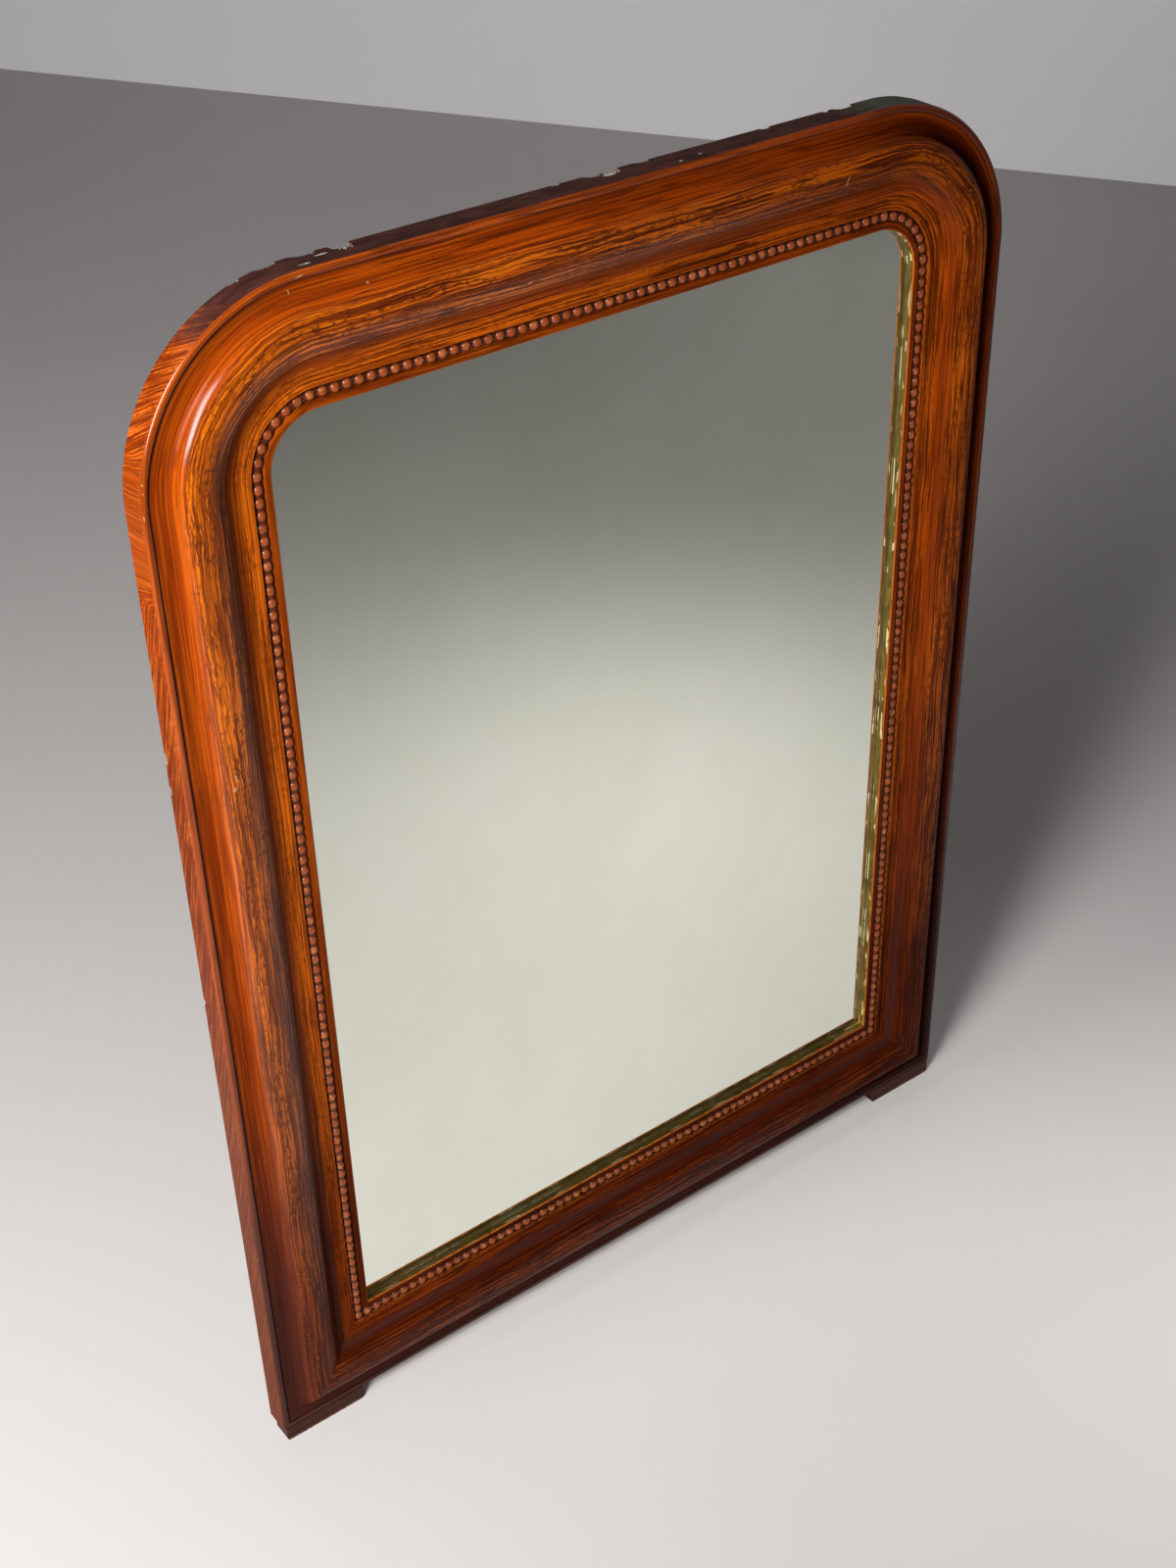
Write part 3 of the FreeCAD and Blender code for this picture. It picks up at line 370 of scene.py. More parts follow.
def nicked(side, inset, depth, run):
    """Inset and depth with the nicks cut out of the back edge, and how deep each point is cut.

    A nick takes off the edge where inset plus distance from the back is under its size, which
    falls off as 1 - |step|^3 to one side of its middle, three times as fast to the other, and
    wavers by two sines of the run. What is cut moves half inwards and half forwards. Outside a
    nick, and past its reach, the cut is negative.
    """
    reach = 0.02
    cut = np.full(inset.shape, -UNCUT)
    for where, middle, half, size in NICKS:
        if where == side:
            step = np.clip(np.maximum(middle - run, 3 * (run - middle)) / half, 0, 1)
            waver = 1 + 0.22 * np.sin(run * 2300) + 0.16 * np.sin(run * 5100 + depth * 900)
            cut = np.maximum(cut, size * (1 - step ** 3) * waver - UNCUT * (step >= 1)
                             - inset - np.abs(SIDE_DEPTH - depth))
    cut = np.where(inset < reach, cut, -UNCUT)
    gone = np.clip(cut, 0, None) / 2
    return inset + gone, depth - gone, cut


def make_carcass():
    """Stiles, top rail and corner blocks with their nicks.

    The square end of the recess lies from a corner's centre at the side of its square divided by
    the larger of the angle's sine and cosine. A stile is thinned where it laps the bottom rail.
    """
    for side, node in (("left", "stile_left"), ("right", "stile_right"), ("top", "rail_top"),
                       ("corner_left", "corner_block_left"),
                       ("corner_right", "corner_block_right")):
        lap = RUNS[side] - MEMBER_WIDTH if side == "right" else MEMBER_WIDTH
        fine = [(middle - half, middle + half, 0.0006)
                for where, middle, half, _ in NICKS if where == side]
        fine.append((lap - 0.0003, lap + 0.0004, 0.0003))
        run = np.clip(stations(side, 0.004, fine), 0, RUNS[side])
        rebate = np.full(run.shape, REBATE_INSET)
        if "corner" in side:
            angle = run / CORNER_RADIUS
            rebate = CORNER_RADIUS - (CORNER_RADIUS - REBATE_INSET) / np.maximum(
                np.sin(angle), np.cos(angle))
        section = np.stack([carcass_profile(start) for start in rebate])
        run = np.broadcast_to(run[:, None], section.shape[:2])
        inset, depth, cut = nicked(side, section[..., 0], section[..., 1], run)
        if side in ("left", "right"):
            low = RUNS[side] - run if side == "right" else run
            depth = np.where(low < MEMBER_WIDTH - 0.0001, np.minimum(depth, LAP_DEPTH), depth)
        new_piece(f"{node}_worn", placed(side, inset, depth, run), capped_faces(*run.shape),
                  node, CARCASS_WOOD, nick=(cut + UNCUT) * MM)


def slip_profile():
    """Section of the gilt slip: a sloping face with a fine raised edge against the moulding."""
    foot = SIGHT_INSET + 0.0012
    runs = [
        line((SLIP_INSET, NOSE_DROP), (SIGHT_INSET - 0.0002, NOSE_DROP), 3),
        line((SIGHT_INSET - 0.0002, NOSE_DROP), (SIGHT_INSET - 0.0001, 0.0052), 4),
        line((SIGHT_INSET - 0.0001, 0.0052), (SIGHT_INSET + 0.0003, 0.0056), 2),
        line((SIGHT_INSET + 0.0003, 0.0056), (foot - 0.0001, 0.0088), 7),
        line((foot - 0.0001, 0.0088), (foot, MOULDING_DEPTH), 3),
        line((foot, MOULDING_DEPTH), (SLIP_INSET, MOULDING_DEPTH), 3),
        line((SLIP_INSET, MOULDING_DEPTH), (SLIP_INSET, NOSE_DROP), 3),
    ]
    return eased(runs, [0, 0.0002, 0.0002, 0.0001, 0.0002, 0.0001, 0])


def make_slips():
    """The six gilt slips, whose sloping face wavers a little along its run."""
    profile = slip_profile()
    for side in SIDES:
        share = stations(side, 0.0025)[:, None] / RUNS[side]
        inset, depth = profile[:, 0], profile[:, 1]
        run = mitred(side, inset, share)
        waver = 1 + np.sin(run * 150 + 2 * np.sin(run * 47)) / 2 + np.sin(run * 620) / 3
        sunk = np.where((depth > 0.005) & (depth < 0.009), SLIP_WAVER, 0)
        points = placed(side, inset - sunk * waver, depth, run)
        new_piece(f"slip_{side}_gilt", points, capped_faces(*points.shape[:2]),
                  f"slip_{side}", GILDING)


def bead_runs(side):
    """Runs of the beads of one string, spaced as in the model."""
    reach = SPRING_RUN - BEAD_INSET
    count = round(reach / BEAD_PITCH + 0.5)
    pitch = reach / (count - 0.5)
    if side == "left":
        return BEAD_INSET + pitch * np.arange(count)
    if side == "right":
        return pitch * (np.arange(count) + 0.5)
    if side == "bottom":
        reach = FRAME_WIDTH - 2 * BEAD_INSET
        count = round(reach / BEAD_PITCH)
        return BEAD_INSET + reach / count * np.arange(1, count)
    reach = TOP_RUN if side == "top" else (CORNER_RADIUS - BEAD_INSET) * math.pi / 2
    count = round(reach / BEAD_PITCH)
    return (np.arange(count) + 0.5) * RUNS[side] / count


def make_beads():
    """The six strings. A bead is half an egg: at rise v and turn u, cos v times the cosine and
    sine of u, and sin v. Its size, place and height vary a little from bead to bead."""
    around = 12
    turn = np.linspace(0, 2 * math.pi, around, endpoint=False)
    rise = np.radians([0, 18, 38, 60])[:, None]
    ball = np.stack(np.broadcast_arrays(np.cos(rise) * np.cos(turn), np.cos(rise) * np.sin(turn),
                                        np.sin(rise)), -1).reshape(-1, 3)
    ball = np.concatenate([ball, [[0, 0, 1]]])
    corner = np.arange(around)
    sides = grid_faces(len(rise), around)
    last = around * (len(rise) - 1)
    tip = np.stack([last + corner, last + (corner + 1) % around,
                    np.full(around, last + around)], 1)
    strip_step = strip_gap = 0.004
    strip = np.array([(-0.0027, CHANNEL_DROP), (-0.0026, 0.0034), (-0.0018, 0.0029),
                      (0.0018, 0.0029), (0.0026, 0.0034), (0.0027, CHANNEL_DROP)])
    chance = np.random.default_rng(11)
    for side in SIDES:
        runs = bead_runs(side)
        vary = chance.normal(0, 1, (len(runs), 4, 1)).clip(-2, 2)
        size = BEAD_RADIUS * np.clip([1.0, 1.1, 0.95] + vary[:, :3, 0] * [0.04, 0.03, 0.05],
                                     0.8, [1.06, 1.13, 1])[:, None, :] * ball
        spread = CORNER_RADIUS / (CORNER_RADIUS - BEAD_INSET) if "corner" in side else 1
        balls = placed(side, BEAD_INSET + size[..., 0] + 0.0001 * vary[:, 3],
                       CHANNEL_DROP - size[..., 2], runs[:, None] + spread * size[..., 1])
        start, end = {"left": (BEAD_INSET, SPRING_RUN), "right": (0, SPRING_RUN - BEAD_INSET),
                      "bottom": (BEAD_INSET + strip_gap, FRAME_WIDTH - BEAD_INSET - strip_gap)
                      }.get(side, (0, RUNS[side]))
        marks = np.linspace(start, end, round((end - start) / strip_step))[:, None]
        base = placed(side, BEAD_INSET + strip[:, 0], strip[:, 1], marks)
        step = len(ball) * np.arange(len(runs))[:, None, None]
        faces = (sides + step).reshape(-1, 4).tolist() + (tip + step).reshape(-1, 3).tolist()
        faces += (corner[::-1] + step[:, 0]).tolist()
        faces += capped_faces(len(marks), len(strip), len(ball) * len(runs))
        new_piece(f"beads_{side}_painted", np.concatenate([balls.reshape(-1, 3),
                                                           base.reshape(-1, 3)]),
                  faces, f"beads_{side}", BEAD_PAINT, sharp=50)


# Finishes

def tone(red, green, blue):
    """Colour of a display value from 0 to 255, as the shader counts it."""
    shares = np.array([red, green, blue]) / 255
    linear = np.where(shares <= 0.04045, shares / 12.92, ((shares + 0.055) / 1.055) ** 2.4)
    return (*linear.tolist(), 1.0)


class Value:
    """What a node of a sheet gives. Arithmetic with it adds Math nodes to the sheet."""

    def __init__(self, sheet, socket):
        self.sheet = sheet
        self.socket = socket

    def __add__(self, other):
        return self.sheet.do("ADD", self, other)

    def __sub__(self, other):
        return self.sheet.do("SUBTRACT", self, other)

    def __rsub__(self, other):
        return self.sheet.do("SUBTRACT", other, self)

    def __mul__(self, other):
        return self.sheet.do("MULTIPLY", self, other)

    def __truediv__(self, other):
        return self.sheet.do("DIVIDE", self, other)

    __radd__ = __add__
    __rmul__ = __mul__


class Sheet:
    """Adds nodes to one tree. What is fed to a node is a plain number, a colour or a Value."""

    def __init__(self, tree):
        self.tree = tree

    def add(self, kind, inputs=(), output=0, **settings):
        node = self.tree.nodes.new("ShaderNode" + kind)
        for name, setting in settings.items():
            setattr(node, name, setting)
        for key, value in inputs.items() if isinstance(inputs, dict) else enumerate(inputs):
            self.feed(node.inputs[key], value)
        return Value(self, node.outputs[output])

    def feed(self, socket, value):
        if isinstance(value, Value):
            self.tree.links.new(value.socket, socket)
        else:
            socket.default_value = value

    def given(self, sockets):
        return [Value(self, socket) for socket in sockets]

    def do(self, operation, *values):
        return self.add("Math", values, operation=operation)

    def most(self, a, b):
        """The larger of two numbers."""
        return self.do("MAXIMUM", a, b)

    def mix(self, share, a, b, blend="MIX"):
        """Mix of two colours, which are inputs 6 and 7 of the node and its output 2."""
        return self.add("Mix", {0: share, 6: a, 7: b}, 2, data_type="RGBA", blend_type=blend)

    def choose(self, choice, off, on):
        """The first number where the choice is 0 and the second where it is 1."""
        return off * (1.0 - choice) + on * choice

    def spread(self, value, low, high, to_low=0.0, to_high=1.0):
        """Smooth step from to_low at low to to_high at high."""
        return self.add("MapRange", (value, low, high, to_low, to_high),
                        interpolation_type="SMOOTHSTEP")

    def band(self, value, start, full, fading, end):
        """Smooth steps from 0 at start up to 1 at full, and from 1 at fading down to 0 at end."""
        return self.spread(value, start, full) * self.spread(value, end, fading)

    def noise(self, x, y, z=0.0, detail=2.0, roughness=0.5):
        """Noise over x and y, each counted in its own patches, with z to tell layers apart."""
        place = self.add("CombineXYZ", (x, y, z))
        return self.add("TexNoise", {"Vector": place, "Scale": 1.0, "Detail": detail,
                                     "Roughness": roughness})

    def ramp(self, value, stops):
        """Colours at places from 0 to 1, eased from one to the next."""
        node = self.tree.nodes.new("ShaderNodeValToRGB")
        node.color_ramp.interpolation = "EASE"
        elements = node.color_ramp.elements
        while len(elements) < len(stops):
            elements.new(0.5)
        for element, (place, colour) in zip(elements, stops):
            element.position, element.color = place, colour
        self.feed(node.inputs[0], value)
        return Value(self, node.outputs[0])

    def use(self, group, *values):
        """A shader node group fed with values, as the list of its outputs."""
        node = self.tree.nodes.new("ShaderNodeGroup")
        node.node_tree = group
        for socket, value in zip(node.inputs, values):
            self.feed(socket, value)
        return self.given(node.outputs)

    def bump(self, height, strength, distance):
        return self.add("Bump", {"Height": height, "Strength": strength, "Distance": distance})

    def place(self):
        """X, Y and Z of the surface in millimetres."""
        spot = self.add("TexCoord", output="Object")
        large = self.add("VectorMath", {"Vector": spot, "Scale": MM}, operation="SCALE")
        split = self.tree.nodes.new("ShaderNodeSeparateXYZ")
        self.feed(split.inputs[0], large)
        return self.given(split.outputs)


def new_group(build, inputs, outputs):
    """A node group named after the function that fills it, from its inputs and outputs by name.

    Each input is a number with its usual value. Outputs are numbers too, apart from a colour.
    """
    tree = bpy.data.node_groups.new(build.__name__, "ShaderNodeTree")
    for label, value in inputs.items():
        socket = tree.interface.new_socket(label, in_out="INPUT", socket_type="NodeSocketFloat")
        socket.default_value = value
    for label in outputs:
        kind = "NodeSocketColor" if label == "Colour" else "NodeSocketFloat"
        tree.interface.new_socket(label, in_out="OUTPUT", socket_type=kind)
    sheet = Sheet(tree)
    given = tree.nodes.new("NodeGroupInput")
    results = build(sheet, *sheet.given(given.outputs)[:len(inputs)])
    taken = tree.nodes.new("NodeGroupOutput")
    for socket, value in zip(taken.inputs, results):
        sheet.feed(socket, value)
    return tree


def new_material(name, build):
    """A material whose build function gives the Principled shader its inputs by name."""
    material = bpy.data.materials.new(name)
    material.use_nodes = True
    sheet = Sheet(material.node_tree)
    shader = material.node_tree.nodes["Principled BSDF"]
    for label, value in build(sheet).items():
        sheet.feed(shader.inputs[label], value)
    return material


def lay_of_frame(sheet):
    """Inset, depth, run and girth in mm. Round the top corners the inset is corner radius minus
    distance from the corner's centre. The run adds up left side, arc, top, arc and right side,
    and the bottom, below the mitres, has runs of its own. The girth is the way across the
    section, out to the crest and down again beyond it."""
    x, y, z = sheet.place()
    half, radius, level = FRAME_WIDTH / 2 * MM, CORNER_RADIUS * MM, SPRING_RUN * MM
    flat = half - radius
    to_middle = level + radius * math.pi / 2 + flat
    rise = z - FOOT_HEIGHT * MM
    sideways = sheet.do("ABSOLUTE", x)
    from_side = half - sideways
    corner_x = sheet.most(radius - from_side, 0.0)
    corner_z = sheet.most(rise - level, 0.0)
    reach = sheet.do("SQRT", corner_x * corner_x + corner_z * corner_z)
    inset = sheet.do("MINIMUM", sheet.do("MINIMUM", radius - reach, rise), from_side)
    angle = sheet.do("ARCTAN2", corner_z, sheet.most(corner_x, 0.001))
    before = sheet.do("MINIMUM", rise, level) + angle * radius
    run = sheet.choose(sheet.do("GREATER_THAN", x, 0.0), before, 2 * to_middle - before)
    along_top = sheet.do("MINIMUM", sheet.most(x, -flat), flat)
    on_top = (sheet.do("GREATER_THAN", flat, sideways)
              * sheet.do("GREATER_THAN", rise, level))
    run = sheet.choose(on_top, run, to_middle + along_top)
    run = sheet.choose(sheet.do("GREATER_THAN", from_side, rise), run, x + BOTTOM_RUN)
    depth = y - LIP_Y * MM
    crest_inset, crest_rise = CREST[0] * MM, -CREST[1] * MM
    past = sheet.do("SIGN", inset - crest_inset)
    return inset, depth, run, inset + past * (depth + crest_rise) + crest_rise


def drawn_grain(sheet, across, along, stroke, wander):
    """Grain drawn with a comb in wet glaze: broad bands, fine streaks, thin dark lines where a
    noise crosses its middle, and short crinkled ones likewise. The wander bends them as they go
    along."""
    slow = sheet.noise(across / 45, along / 85, 3.0)
    quick = sheet.noise(across / 8, along / 12, 7.0)
    bent = across + ((slow - 0.5) * 9.0 + (quick - 0.5) * 2.4) * wander
    broad = sheet.noise(bent / 7, along / 170, 1.0)
    fine = sheet.noise(bent / 2.3, along / 120, 5.0, 1.0)
    ridge = sheet.noise(bent / 3, along / 120, 9.0, 1.0)
    lines = sheet.spread(sheet.do("ABSOLUTE", ridge - 0.5), 0.055, 0.014)
    marks = sheet.noise(bent / 1.9, along / stroke, 9.0, 1.0)
    crowd = sheet.noise(bent / 9, along / 45, 12.0)
    strokes = (sheet.spread(sheet.do("ABSOLUTE", marks - 0.5), 0.08, 0.02)
               * sheet.spread(crowd, 0.36, 0.56))
    return broad, fine, lines, strokes


def scuff_mark(sheet, middle_x, middle_z, half_width, half_height, turn, middle_depth,
               half_depth):
    """Ragged rounded patch round a point of the paint."""
    x, y, z = sheet.place()
    deep = (y - LIP_Y * MM - middle_depth) / half_depth
    x, z = x - middle_x, z - middle_z
    cosine, sine = sheet.do("COSINE", turn), sheet.do("SINE", turn)
    wide = (x * cosine - z * sine) / half_width
    tall = (x * sine + z * cosine) / half_height
    away = wide * wide + tall * tall + deep * deep
    ragged = sheet.noise(x * 0.9, z * 0.7, y * 0.9, 3.0, 0.7)
    return [sheet.spread(away + ragged * 3.0, 2.15, 1.7)]


def front_paint(sheet, x, z, girth, grain, figured, roll):
    """Colour of the front, with how far it is darkened low down and how deep the painted shadow of
    the roll lies on the right.
    """
    broad, fine, lines, strokes = grain
    base = sheet.ramp((girth - SHADES_START) / SHADES_LENGTH, [
        ((place - SHADES_START) / SHADES_LENGTH, tone(*colour)) for place, *colour in SHADES])
    ruddy = sheet.spread(x + broad * 160.0, -40.0, 200.0)
    base = sheet.mix(ruddy * (0.6 - roll * 0.35), base, tone(150, 60, 6))
    base = sheet.mix(sheet.spread(broad, 0.42, 0.64, 0.0, 0.4), base, tone(122, 46, 6))
    high = sheet.spread(z, 780.0, 890.0)
    # Brighter orange high up at the upper left: painted light.
    painted_light_upper_left = sheet.spread(x, 40.0, -150.0) * sheet.spread(x, -300.0, -190.0, 0.0, 0.28)
    base = sheet.mix(high * painted_light_upper_left, base, tone(214, 88, 10))
    calm = high * sheet.spread(x, 40.0, 240.0)
    light = sheet.spread(fine, 0.51, 0.43) * (figured * 0.58 + 0.06 - ruddy * 0.3)
    base = sheet.mix(light * (1.0 - calm * 0.75), base, tone(220, 112, 16))
    drawn = figured * 0.4 + sheet.spread(x, -300.0, -180.0, 0.28, 0.6)
    base = sheet.mix(sheet.spread(fine, 0.5, 0.6, 0.0, 0.85) * drawn, base, tone(98, 36, 6))
    base = sheet.mix(lines * drawn, base, tone(74, 26, 6))
    base = sheet.mix(strokes * figured * 0.85, base, tone(86, 34, 6))
    # Darker and greyer towards the bottom, and less glossy there.
    low_down = sheet.spread(z + broad * 60.0, 440.0, 120.0)
    base = sheet.mix(low_down, base, tone(196, 178, 168), "MULTIPLY")
    # Greyish brown on the lower flank and at the cove low down: painted sheen, the floor's
    # reflection in the varnish, with a slight greying all over low down.
    painted_floor_sheen = sheet.most(sheet.spread(girth, 30.0, 22.0), sheet.band(girth, 70.0, 75.0, 79.0, 86.0))
    base = sheet.mix(low_down * (painted_floor_sheen * 0.55 + 0.08), base, tone(74, 50, 44))
    # Darker still from about 700 mm down towards the bottom.
    base = sheet.mix(sheet.spread(z, 700.0, 180.0), base, tone(202, 196, 200), "MULTIPLY")
    right = sheet.spread(x, 120.0, 290.0)
    # Darker ledge and hollow on the right: painted shadow of the roll, which also takes gloss off
    # there.
    painted_shadow_and_matt = sheet.band(girth, 4.0, 13.0, 24.0, 31.0) * right
    base = sheet.mix(painted_shadow_and_matt, base, tone(132, 116, 120), "MULTIPLY")
    # Darker lip on the right: painted shade.
    base = sheet.mix(sheet.spread(girth, 5.0, 4.0) * right, base, tone(196, 182, 196),
                     "MULTIPLY")
    return base, low_down, painted_shadow_and_matt


def side_paint(sheet, x, z, depth, run):
    """Colour of the outer side, with its fine grain and the share of dark brown over the top.

    Its strokes slant, and lie steeper round the corner.
    """
    spring = SPRING_Z * MM
    slant = sheet.spread(z, spring - 60.0, spring + 40.0, 0.32, 1.0)
    sine, cosine = sheet.do("SINE", slant), sheet.do("COSINE", slant)
    across = depth * cosine + run * sine
    along = run * cosine - depth * sine
    broad, fine, lines, strokes = sheet.use(GRAIN, across * 1.4, along * 1.8, 9.0, 0.35)
    side = sheet.mix(sheet.spread(broad, 0.42, 0.6), tone(202, 82, 12), tone(150, 54, 8))
    brown = sheet.spread(z + broad * 400.0, 960.0, 760.0, 0.0, 0.7)
    side = sheet.mix(brown, side, tone(112, 42, 12))
    side = sheet.mix(sheet.spread(fine, 0.5, 0.42) * 0.5, side, tone(214, 116, 40))
    side = sheet.mix(sheet.spread(fine, 0.5, 0.6, 0.0, 0.7), side, tone(110, 40, 8))
    side = sheet.mix(sheet.most(strokes, lines) * 0.75, side, tone(88, 30, 8))
    side = sheet.mix(sheet.spread(z, 690.0, 200.0, 0.0, 0.72), side, tone(106, 66, 54))
    smoky = sheet.noise(run / 30, depth / 9, 21.0, 4.0, 0.6)
    over = sheet.spread(z + (broad - 0.5) * 24.0 + smoky * 34.0, 920.0, 940.0)
    dark = sheet.mix(sheet.spread(smoky, 0.35, 0.65), tone(58, 32, 28), tone(84, 48, 40))
    green = sheet.spread(x + smoky * 60.0, 215.0, 260.0)
    dark = sheet.mix(green, dark, tone(84, 84, 72))
    return sheet.mix(over, side, dark), fine, over


def aged_paint(sheet, colour, z, inset, run, girth):
    """Painted shade with dirt in the creases, rubbed edges with painted highlights along them, and
    scuffs on a colour, with the share of the scuffs.
    """
    clogged = sheet.band(run, 850.0, 1000.0, 2500.0, 2600.0)
    # Darker in the groove behind the lip, on the inner band and nose by the sight edge and where
    # the cove meets the fillet: painted shade in these creases, with dirt.
    painted_shade_and_dirt = (sheet.band(inset, 4.7, 5.3, 6.0, 6.5) * (1.0 - clogged * 0.65)
             + sheet.band(girth, 96.0, 99.0, 103.5, 106.0) * 0.6
             + sheet.band(inset, 68.0, 68.8, 69.0, 69.3))
    colour = sheet.mix(painted_shade_and_dirt * 0.7, colour, tone(42, 18, 8))
    patch = sheet.noise(run / 5, girth / 1.5, 31.0, 4.0, 0.7)
    # Lighter broken lines along the fillet's edge and the sight edge: rubbed paint with a painted
    # highlight along each edge.
    rim = sheet.band(inset, 71.6, 72.5, 73.2, 73.8) * sheet.spread(patch, 0.46, 0.56)
    nose = sheet.spread(inset, 85.9, 86.7) * sheet.spread(patch, 0.36, 0.5)
    colour = sheet.mix(sheet.most(rim * 0.3, nose * 0.5), colour, tone(208, 118, 46))
    # Lighter broken line along the lip's outer edge: rubbed paint with a painted highlight.
    edge = sheet.spread(patch, 0.6, 0.68) * sheet.band(girth, -3.6, -1.6, -0.6, 0.8)
    colour = sheet.mix(edge * 0.6, colour, tone(196, 128, 70))
    scuffs = 0.0
    for middle_x, middle_z, wide, tall, turn, middle_depth, deep in SCUFFS:
        mask, = sheet.use(SCUFF, middle_x, middle_z, wide, tall, math.radians(turn),
                          middle_depth, deep)
        scuffs = sheet.most(scuffs, mask)
    gesso = sheet.mix(sheet.spread(z, 932.8, 935.0), tone(198, 150, 104), tone(236, 228, 212))
    return sheet.mix(scuffs * 0.75, colour, gesso), scuffs


def pulled_paint(sheet):
    """Colour, roughness, relief and gloss of the painted front and outer side of the frame."""
    inset, depth, run, girth = sheet.use(LAY)
    x, z = sheet.place()[::2]
    roll = sheet.band(girth, 24.0, 38.0, 60.0, 72.0)
    figured = roll * 0.8 + sheet.band(girth, 74.0, 82.0, 91.0, 96.0) * 0.4 + 0.2
    grain = sheet.use(GRAIN, girth, run, 11.0, figured)
    front, low_down, painted_shadow_and_matt = front_paint(sheet, x, z, girth, grain, figured, roll)
    side, side_fine, over = side_paint(sheet, x, z, depth, run)
    on_side = sheet.spread(girth, -0.2, -2.4)
    colour, scuffs = aged_paint(sheet, sheet.mix(on_side, front, side), z, inset, run, girth)
    dust = sheet.noise(x / 3, z / 3, 41.0, 5.0, 0.7)
    rough = sheet.spread(dust, 0.35, 0.75, 0.27, 0.42) + scuffs * 0.3 + on_side * over * 0.2
    fine, lines, strokes = grain[1:]
    height = ((fine * 0.4 - strokes * 0.3 - lines * 0.3) * figured + side_fine * on_side * 0.4
              - scuffs * 0.8 + dust * 0.5)
    polished = sheet.band(girth, 23.0, 31.0, 48.0, 80.0) * sheet.spread(x, 260.0, 60.0, 0.25, 1.0)
    gloss = polished * 0.65 + sheet.band(girth, -2.0, -0.4, 4.0, 5.0) * 0.8 + 0.1
    # Less gloss low down and in the painted shadow on the right.
    gloss = gloss * (1.0 - sheet.most(low_down * 0.6, painted_shadow_and_matt * 0.85))
    return colour, rough, height, gloss


def sawn_wood(sheet, across, along, layer):
    """Colour and relief of bare softwood: rings are a sine of the way across, bent by noise."""
    bend = sheet.noise(across / 60, along / 320, layer)
    rings = sheet.do("SINE", across * 0.85 + bend * 38.0)
    fibre = sheet.noise(across / 0.5, along / 40, layer, 3.0, 0.6)
    colour = sheet.mix(sheet.spread(rings, -0.4, 1.0), tone(168, 132, 92), tone(134, 96, 62))
    colour = sheet.mix(sheet.spread(fibre, 0.45, 0.75, 0.0, 0.6), colour, tone(104, 76, 52))
    stain = sheet.noise(across / 55, along / 90, layer, 4.0, 0.6)
    colour = sheet.mix(sheet.spread(stain, 0.48, 0.75, 0.0, 0.65), colour, tone(92, 74, 58))
    return colour, fibre * 0.7 + rings * 0.12


LAY = new_group(lay_of_frame, {}, ("Inset", "Depth", "Run", "Girth"))
GRAIN = new_group(drawn_grain, {"Across": 0.0, "Along": 0.0, "Stroke": 15.0, "Wander": 1.0},
                  ("Broad", "Fine", "Lines", "Strokes"))
SCUFF = new_group(scuff_mark, dict.fromkeys(
    ("Middle X", "Middle Z", "Half width", "Half height", "Turn", "Middle depth", "Half depth"),
    1.0), ("Mask",))
PULLED = new_group(pulled_paint, {}, ("Colour", "Roughness", "Height", "Gloss"))
SAWN = new_group(sawn_wood, {"Across": 0.0, "Along": 0.0, "Layer": 0.0}, ("Colour", "Height"))


def painted_moulding(sheet):
    """The painted front under its varnish."""
    colour, rough, height, gloss = sheet.use(PULLED)
    return {"Base Color": colour, "Roughness": rough, "Normal": sheet.bump(height, 0.35, 0.0004),
            "Coat Weight": gloss, "Coat Roughness": 0.21, "Specular IOR Level": 0.0}


def carcass_wood(sheet):
    """Paint on the outer side and just over the back edge, bare pine behind, pale gesso and wood
    where the edge is nicked. The nick attribute is the depth of cut in mm plus that of UNCUT."""
    colour, rough, height, gloss = sheet.use(PULLED)
    inset, depth, run = sheet.use(LAY)[:3]
    bare, bare_height = sheet.use(SAWN, inset, run, 2.0)
    wander = sheet.noise(run / 9, inset / 3, 5.0, 3.0)
    back = sheet.spread(inset + wander * 4.0, 2.6, 3.4)
    colour = sheet.mix(back, colour, bare)
    nick = sheet.add("Attribute", output="Fac", attribute_name="nick")
    crumb = sheet.noise(run / 2.2, depth / 2.2, inset / 2.2, 4.0, 0.7)
    broken = sheet.mix(sheet.spread(crumb, 0.48, 0.6), tone(104, 64, 44), tone(222, 214, 198))
    chip = sheet.spread(nick + crumb * 6.0, 11.4, 12.2) * sheet.spread(nick, 3.0, 5.0)
    colour = sheet.mix(chip, colour, broken)
    unpainted = sheet.most(back, chip)
    rough = sheet.choose(unpainted, rough, 0.8)
    height = height + bare_height * back + crumb * chip
    return {"Base Color": colour, "Roughness": rough, "Normal": sheet.bump(height, 0.4, 0.0005),
            "Coat Weight": (1.0 - unpainted) * gloss, "Coat Roughness": 0.14,
            "Specular IOR Level": 0.0}


